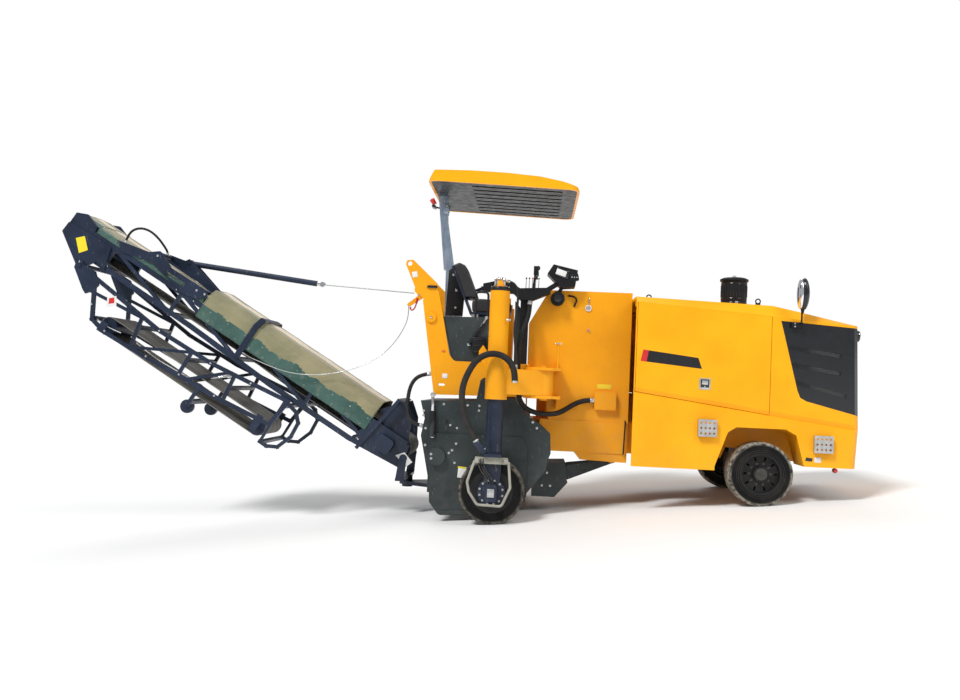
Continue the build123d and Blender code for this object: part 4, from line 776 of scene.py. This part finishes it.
def upholster(name, outline):
    """Upholstered cushion: a closed, rounded shell, swelled by a short cloth run."""
    built = pushed_outline(outline, SEAT_RIGHT + CUSHION_INSET,
                           SEAT_LEFT - SEAT_RIGHT - 2 * CUSHION_INSET)
    bmesh.ops.recalc_face_normals(built, faces=built.faces)
    round_off(built, built.edges[:], CUSHION_ROUND, 3, 0.6)
    bmesh.ops.transform(built, matrix=MACHINE, verts=built.verts)
    mesh = bpy.data.meshes.new(name)
    built.to_mesh(mesh)
    built.free()
    cushion = added(name, mesh)
    mesh.materials.append(vinyl)
    remesh = cushion.modifiers.new("remesh", "REMESH")
    remesh.mode = "VOXEL"
    remesh.voxel_size = 0.011
    swell(cushion)
    cushion.data.shade_smooth()
    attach(cushion, "chassis")
    return cushion


cushions = [upholster(name, outline) for name, outline in CUSHIONS.items()]
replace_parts(cushions[0], "seat_cushions")

# ---- body panels: stripe, latches, lamps and plates ----
SKIN = 1000
STRIPE = [(1502, 1567), (2072, 1502), (2112, 1390), (1478, 1447)]
STRIPE_END = [(1502, 1567), (1560, 1560), (1540, 1441), (1478, 1447)]
LATCH_X, LATCH_Z = 2147, 1236
LOUVRES = [((3010, 1650), (3500, 1580)), ((3040, 1470), (3500, 1400)),
           ((3075, 1290), (3560, 1170))]
STEPS = [(2183, 782), (3360, 668)]
LAMP_Y, LAMP_Z = 870, 1800


def door_fittings(tag, side):
    """Blank stripe, and the latch with its paddle, on one engine door."""
    trim = Trim("door_" + tag + "_fittings", "door_" + tag, "steel")
    out = side * SKIN
    trim.slab(STRIPE, out, side * 0.6, gloss)
    trim.slab(STRIPE_END, out, side * 1.1, red)
    trim.box((LATCH_X, out + side * 1.5, LATCH_Z), (116, 6, 118), zinc, bevel=2)
    trim.box((LATCH_X, out + side * 3.5, LATCH_Z + 4), (88, 4, 84), gloss, bevel=1.5)
    trim.box((LATCH_X, out + side * 7, LATCH_Z + 14), (64, 6, 44), zinc, turn=4, bevel=2)
    trim.rod((LATCH_X, out + side * 3, LATCH_Z - 28), (LATCH_X, out + side * 9, LATCH_Z - 28), 8,
             zinc)
    trim.bolts(corners(LATCH_X, LATCH_Z, 50, 50), out + side * 4, 4.5, side)
    trim.done()


door_fittings("right", -1)
door_fittings("left", 1)

nose = Trim("nose_fittings", "chassis", "black_plastic")
for side in (-1, 1):
    out = side * SKIN
    for (x0, z0), (x1, z1) in LOUVRES:
        for drop in (-15, -5, 5, 15):
            nose.rod((x0, out - side * 4, z0 + drop), (x1, out - side * 4, z1 + drop), 2.6, gloss,
                     sides=8, bevel=1)
    # gloss black plate where the skirt has an oblong hole: painted shade in place of the hole
    nose.slab([(3188, 492), (3258, 486), (3266, 520), (3200, 528)], out, side * 1.2, gloss)
    nose.box((3316, out + side * 1, 505), (66, 2, 52), white, bevel=1)
    nose.bolts(((3290, 505), (3342, 505)), out + side * 2, 3, side)
    # side marker lamp
    nose.rod((3506, side * 930, 402), (3506, side * 972, 402), 24, gloss)
    nose.rod((3506, side * 971, 402), (3506, side * 982, 402), 21, red)
    nose.box((3506, side * 935, 425), (26, 14, 70), zinc)
    # lifting eyes
    for x in (1560, 2700):
        nose.rod((x, side * 830, 2085), (x, side * 830, 2112), 26, black)
        nose.ring((x, side * 830, 2130), SIDE, 24, 7, black)
    # headlamp
    nose.rod((3660, side * LAMP_Y, LAMP_Z), (3732, side * LAMP_Y, LAMP_Z), 58, gloss, sides=32)
    nose.rod((3731, side * LAMP_Y, LAMP_Z), (3736, side * LAMP_Y, LAMP_Z), 44, white, sides=32)
    nose.ring((3734, side * LAMP_Y, LAMP_Z), AHEAD, 50, 5, chrome)
    # bolts that hold the step boxes on
    for x, z in STEPS:
        nose.bolts(corners(x, z, 57.4, 62), out + side * 54, 6, side)
nose.done()

# mirror on its bent arm, its glass facing the operator
mirror = Trim("mirror_on_arm", "chassis", "black_plastic")
mirror.box((3058, -1028, 1880), (118, 56, 60), black, bevel=8)
mirror.bolts(((3030, 1864), (3030, 1896)), -1056, 8)
mirror.pipe([(3088, -1040, 1890), (3088, -1078, 1895), (3088, -1082, 1960), (3088, -1082, 2010),
             (3076, -1095, 2060)], 9, black)
mirror.ball((3096, -1110, 2195), (52, 84, 165), gloss, 36, 20)
mirror.ball((3062, -1112, 2195), (34, 78, 157), glass, 36, 20)
mirror.rod((3100, -1100, 2080), (3092, -1082, 2000), 14, black)
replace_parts(mirror.done(), "mirror_right")

# bands, fins and cap of the intake stack
STACK_X, STACK_Y, STACK_RADIUS = 2557, -300, 141
stack = Trim("stack_fittings", "chassis", "black_plastic")
for z in (2150, 2196, 2362):
    stack.ring((STACK_X, STACK_Y, z), UP, STACK_RADIUS, 4, gloss, 48, 8)
for place in circle((STACK_X, STACK_Y), STACK_RADIUS, 28):
    stack.rod((*place, 2215), (*place, 2345), 3.4, gloss, sides=8, bevel=1)
stack.rod((STACK_X, STACK_Y, 2436), (STACK_X, STACK_Y, 2452), 22, zinc)
stack.bolt((STACK_X, STACK_Y, 2450), UP, 14)
stack.box((STACK_X, -446, 2150), (34, 16, 26), zinc)
stack.done()

# ---- operator's platform, tower and canopy ----
WALL = -550
wall = Trim("recess_fittings", "chassis", "steel")
wall.ring((941, WALL - 8, 2011), SIDE, 30, 6, white)
wall.rod((941, WALL, 2011), (941, WALL - 14, 2011), 22, zinc)
wall.rod((941, WALL - 10, 2030), (944, WALL - 10, 2120), 6, chrome)
wall.rod((950, WALL, 1770), (950, WALL - 16, 1770), 14, zinc)
wall.rod((950, WALL - 14, 1770), (950, WALL - 22, 1770), 8, red)
wall.box((1148, WALL - 1.5, 1162), (154, 3, 50), lemon, bevel=1)
wall.bolts(((1082, 1162), (1214, 1162)), WALL - 3, 4)
wall.pipe([(1384, WALL, 797), (1384, WALL - 46, 797), (1384, WALL - 50, 760),
           (1376, WALL - 50, 480), (1376, WALL - 46, 441), (1376, WALL, 441)], 9, gloss)
wall.done()

TOWER = -902
DECK = -866
tower = Trim("tower_fittings", "chassis", "steel")
tower.box((-938, TOWER, 2273), (56, 3, 62), white, turn=-12, bevel=1)
tower.box((-744, TOWER - 8, 2147), (108, 18, 28), gloss, bevel=5)
tower.rod((-740, TOWER, 1820), (-740, TOWER - 14, 1820), 34, zinc, sides=28)
tower.bolt((-740, TOWER - 14, 1820), RIGHT, 18, chrome)
tower.ball((-595, TOWER, 1466), (22, 7, 12), amber)
tower.box((-567, TOWER, 1202), (56, 3, 50), white, bevel=1)
tower.bolts(corners(-567, 1202, 19, 16), TOWER - 1.5, 3)
# gas strut and its black box beside the seat
tower.rod((-150, DECK - 18, 1840), (-190, DECK - 18, 1770), 10, chrome)
tower.rod((-185, DECK - 18, 1780), (-329, DECK - 18, 1547), 16, gloss)
for x, z in ((-150, 1840), (-329, 1547)):
    tower.rod((x, DECK, z), (x, DECK - 30, z), 17, zinc)
tower.box((-220, DECK - 31, 1541), (150, 62, 180), black, turn=-3, bevel=10)
for z in (1480, 1541, 1602):
    tower.box((-220, DECK - 64, z), (110, 5, 12), gloss, turn=-3, bevel=2)
# grab rail
tower.pipe([(-277, -850, 1770), (-277, -812, 1785), (-277, -800, 1830), (-277, -800, 2080),
            (-277, -800, 2115), (-230, -800, 2122), (-165, -800, 2120), (-145, -800, 2100),
            (-145, -800, 2040), (-145, -800, 1830), (-145, -812, 1785), (-145, -850, 1770)], 13,
           gloss)
tower.done()

# red hook at the rear frame with the end loop of the safety wire
hook = Trim("wire_hook", "chassis", "steel")
hook.rod((-930, -440, 2196), (-966, -440, 2022), 6, zinc)
hook.rod((-957, -440, 2060), (-970, -440, 2000), 15, red, tip=12)
hook.pipe([(-968, -440, 2006), (-976, -440, 1960), (-1010, -440, 1918), (-1036, -440, 1934),
           (-1030, -440, 1962)], 8, red)
hook.ring((-1052, -436, 1985), SIDE, 15, 4, zinc)
hook.done()

desk = Trim("console_fittings", "chassis", "black_plastic")
desk.pipe([(377, -650, 2330), (376, -650, 2360), (372, -650, 2400), (377, -650, 2418)], 9, gloss)
desk.ball((378, -650, 2420), (20, 20, 26), gloss)
desk.rod((352, -650, 2300), (364, -650, 2338), 26, rubber, tip=12)
for k in range(5):
    desk.rod((250 + 34 * k, -655, 2165), (252 + 34 * k, -655, 2300), 5, zinc, sides=10)
    desk.ball((252 + 34 * k, -655, 2304), (9, 9, 11), red if k == 2 else gloss, 14, 8)
desk.box((640, -640, 2370), (150, 110, 96), gloss, turn=18, bevel=12)
desk.box((626, -697, 2374), (112, 4, 62), white, turn=18, bevel=1)
desk.box((770, -640, 2330), (96, 90, 74), black, turn=-12, bevel=10)
desk.rod((705, -640, 2280), (705, -640, 2390), 14, black)
for x in (744, 770, 796):
    desk.rod((x, -684, 2330), (x, -692, 2330), 8, zinc, sides=12)
# warning horn
desk.rod((600, -690, 2095), (600, -650, 2095), 34, gloss, sides=28)
desk.rod((600, -700, 2095), (600, -690, 2095), 42, gloss, sides=28, tip=34)
# handle in the recess, and a T handle below
desk.pipe([(715, -556, 2140), (770, -572, 2138), (812, -580, 2100), (800, -580, 2060),
           (785, -556, 2023)], 10, black)
desk.rod((622, -925, 1592), (622, -958, 1592), 7, chrome)
desk.rod((590, -958, 1592), (654, -958, 1592), 8, chrome)
desk.done()

MAST_PLATE = [(-655, 2429), (-600, 2480), (-560, 2440), (-470, 2180), (-485, 1912), (-677, 1904)]
canopy = Trim("canopy_fittings", "chassis", "black_plastic")
# black bracket plates at the foot of the mast
for side in (-1, 1):
    canopy.slab(MAST_PLATE, side * 55, side * 12, black, bevel=2)
    canopy.bolts(((-600, 2380), (-560, 2200), (-560, 2000)), side * 67, 13, side)
# beacon on its arm
canopy.rod((-900, 0, 3266), (-862, 0, 3206), 30, red, sides=24, tip=26)
canopy.box((-868, 0, 3176), (46, 130, 30), gloss, turn=20, bevel=6)
canopy.rod((-868, 0, 3176), (-725, 0, 3150), 10, black)
for side in (-1, 1):
    canopy.box((-720, side * 60, 3150), (60, 16, 120), mast_steel, turn=8, bevel=3)
    canopy.bolts(((-712, 3115), (-712, 3150), (-712, 3185)), side * 68, 10, side)
canopy.done()

# ---- wheels, column and milling unit ----
TYRE_WALL = 995
DISH = 55
COLUMN_Y = -1318
FLANGE_FACE, MOTOR_FACE = -1491, -1575
PLATE_FACE, BOSS_FACE, HOUSING_FACE, SHOE_FACE = -1052, -1108, -1030, -560


def wheel_fittings(tag, side):
    """Hub cap, wheel nuts and moulded rings on one front wheel; a black brake drum ring behind the
    slots is painted shade.
    """
    trim = Trim("front_" + tag + "_hub", "front_wheel_" + tag, "steel")
    x, z, wall, web = FRONT_X, FRONT_Z, side * TYRE_WALL, side * (TYRE_WALL - DISH)
    trim.rod((x, wall, z), (x, wall + side * 8, z), 62, dark_metal, sides=32, bevel=3)
    trim.ring((x, wall + side * 8, z), SIDE, 40, 3, dark_metal, 32)
    trim.bolt((x, wall + side * 8, z), (0, side, 0), 16, dark_metal)
    trim.bolts(circle((x, z), 108, 10), web, 15, side, dark_metal)
    # gloss black ring behind the slots: a brake drum, and painted shade seen through them
    trim.ring((x, web - side * 68, z), SIDE, 159, 25, gloss, 48, 10)
    for radius in (228, 246, 296):
        trim.ring((x, wall, z), SIDE, radius, 2.6, rubber, 72, 6)
    trim.done()


wheel_fittings("right", -1)
wheel_fittings("left", 1)

column = Trim("column_fittings", "swing_arm", "steel")
column.rod((0, COLUMN_Y, 2088), (0, COLUMN_Y, 2128), 94, gloss, sides=40, bevel=4)
column.ring((0, COLUMN_Y, 2108), UP, 96, 7, black, 40)
for place in circle((0, COLUMN_Y), 88, 8):
    column.bolt((*place, 2128), UP, 8)
for x, top_z in ((-52, 2196), (-30, 2204), (-6, 2196), (18, 2204), (42, 2196)):
    column.rod((x, -1352, 2140), (x, -1360, top_z), 10, zinc, sides=14)
    column.rod((x, -1360, top_z + 4), (x, -1378, top_z + 12), 12, chrome, sides=6)
column.rod((80, -1418, 1789), (122, -1418, 1789), 11, zinc, sides=6)
column.done()

leg = Trim("leg_motor_fittings", "leg_right", "steel")
leg.bolts(circle((REAR_X, REAR_Z), 118, 12, 0.5), FLANGE_FACE, 11)
leg.box((REAR_X, MOTOR_FACE - 4, REAR_Z), (70, 8, 84), zinc, bevel=3)
leg.bolts(corners(REAR_X, REAR_Z, 24, 30), MOTOR_FACE - 8, 6)
for k in range(3):
    high, low = -128 + 22 * k, -24 + 22 * k
    leg.pipe([(high, -1500, 470), (-136 + 22 * k, -1512, 400), (-134 + 24 * k, -1540, 330),
              (-96 + 28 * k, -1556, 262), (-34 + 24 * k, -1560, 200), (low, -1560, 104)], 7,
             dark_metal)
    leg.rod((low, -1560, 150), (low, -1560, 100), 11, zinc, sides=6)
    leg.rod((high, -1500, 470), (high, -1500, 500), 13, chrome, sides=6)
leg.done()

ram = Trim("lift_ram", "side_plate_right", "steel")
ram.rod((-668, -1060, 1000), (-662, -1060, 800), 17, chrome)
ram.rod((-663, -1060, 830), (-655, -1060, 560), 30, gloss)
for x, z in ((-668, 1000), (-655, 575)):
    ram.rod((x, -1036, z), (x, -1078, z), 26, zinc)
ram.done()

# bolts and slots on the milling unit's right wall
plate = Trim("side_plate_fittings", "side_plate_right", "steel")
plate.bolts(((-403, 500), (-443, 430), (-475, 400), (-410, 300)), PLATE_FACE, 13)
plate.bolts(((-655, 385), (-652, 340)), BOSS_FACE, 13)
plate.box((-330, PLATE_FACE - 1, 205), (86, 2, 116), white, turn=4, bevel=1)
plate.box((-332, PLATE_FACE - 2, 255), (84, 2, 18), lemon, turn=4, bevel=1)
plate.done()
unit = Trim("housing_fittings", "chassis", "steel")
unit.bolts(((-761, 829), (-762, 780), (-177, 905), (-733, 646), (385, 760), (430, 700),
            (-551, 905), (-300, 905), (-730, 470)), HOUSING_FACE, 13)
# flat heads where the side plate slides past, 6 mm from the wall
for x, z in ((-403, 662), (-181, 855), (-475, 690)):
    unit.rod((x, HOUSING_FACE, z), (x, HOUSING_FACE - 4.5, z), 12, zinc, sides=14, bevel=0.6)
unit.box((-515, HOUSING_FACE - 5.8, 690), (26, 0.2, 110), gloss)
unit.done()
shoe = Trim("hold_down_fittings", "hold_down", "steel")
shoe.bolts(((510, 60), (600, 60), (560, 200)), SHOE_FACE, 13)
shoe.done()

# ---- conveyor: blank plates, bolts, rams, cables and cylinders ----
# half widths of the inner frame, its ears' plates and bolts, and the outer section
FRAME_SIDE, EAR_PLATE, EAR_BOLT, FOLD_SIDE = 431, 446, 445, 477
inner = Trim("conveyor_fittings", "conveyor", "steel", BELT)
inner.slab([(4574, 0), (4498, 76), (4377, -38), (4446, -124)], -EAR_PLATE, -0.4, lemon)
for side in (-1, 1):
    inner.bolts(((3654, 352), (2951, 285), (3054, 272)), side * EAR_BOLT, 13, side)
    inner.bolts([(d, 150) for d in range(620, 3500, 240)], side * FRAME_SIDE, 8, side)
    inner.pipe([(2663, side * 380, -150), (2440, side * 380, -172), (2230, side * 380, -140),
                (2015, side * 380, -130)], 4, zinc)
inner.slab([(131, -21), (65, 62), (-70, 20), (-36, -70)], -EAR_PLATE, -1, white)
inner.done()

outer = Trim("fold_fittings", "fold_section", "steel", BELT)
outer.slab([(3867, -352), (3785, -285), (3721, -380), (3812, -453)], -FOLD_SIDE, -1, white)
outer.slab([(3842, -352), (3795, -312), (3760, -366), (3812, -410)], -FOLD_SIDE - 1, -0.6, red)
for place in ((4368, -200), (3978, -521), (3680, -690), (3116, -665), (2681, -626), (2209, -600),
              (3147, -342), (2448, -319), (1937, -254)):
    for side in (-1, 1):
        outer.bolts([place], side * (FOLD_SIDE - 2), 11, side)
outer.pipe([(3879, -400, -640), (3760, -400, -652), (3640, -400, -640), (3538, -400, -620)], 5,
           white)
outer.pipe([(3319, -400, -615), (3050, -400, -640), (2780, -400, -622), (2533, -400, -603)], 5,
           white)
outer.rod((2234, -300, -353), (2420, -300, -507), 13, chrome)
outer.rod((2400, -300, -490), (2605, -300, -662), 24, gloss)
for d, h in ((2234, -353), (2605, -662)):
    outer.rod((d, -282, h), (d, -318, h), 26, zinc)
outer.done()

# ---- floor and light ----
floor_mesh = bpy.data.meshes.new("floor")
floor_mesh.from_pydata([(-60, -60, 0), (60, -60, 0), (60, 60, 0), (-60, 60, 0)], [],
                       [(0, 1, 2, 3)])
floor = added("floor", floor_mesh)
material, _, main, _ = shader("pale_floor")
main.inputs["Base Color"].default_value = (0.86, 0.86, 0.85, 1)
main.inputs["Roughness"].default_value = 0.9
floor_mesh.materials.append(material)


def sun(name, strength, spread, toward):
    """Distant soft lamp, so that the whole floor is lit alike."""
    lamp = added(name, bpy.data.lights.new(name, "SUN"))
    lamp.data.energy = strength
    lamp.data.angle = radians(spread)
    lamp.rotation_euler = Vector(toward).to_track_quat("-Z", "Y").to_euler()
    return lamp


lamps = [sun("key", 2.3, 14, (0.55, 0.75, -1.15)), sun("fill", 0.8, 30, (-0.8, 0.7, -0.8)),
         sun("back", 0.6, 30, (0.1, -0.8, -1.0))]

# white behind the machine for the camera, a softer sky for the light
world = bpy.data.worlds.new("studio")
scene.world = world
world.use_nodes = True
tree = world.node_tree
shown = tree.nodes["Background"]
shown.inputs["Color"].default_value = (1, 1, 1, 1)
soft = tree.nodes.new("ShaderNodeBackground")
soft.inputs["Color"].default_value = (0.95, 0.97, 1.0, 1)
soft.inputs["Strength"].default_value = 0.42
rays = tree.nodes.new("ShaderNodeLightPath")
pick = tree.nodes.new("ShaderNodeMixShader")
tree.links.new(rays.outputs["Is Camera Ray"], pick.inputs[0])
tree.links.new(soft.outputs[0], pick.inputs[1])
tree.links.new(shown.outputs[0], pick.inputs[2])
tree.links.new(pick.outputs[0], tree.nodes["World Output"].inputs["Surface"])
scene.view_settings.view_transform = "Standard"
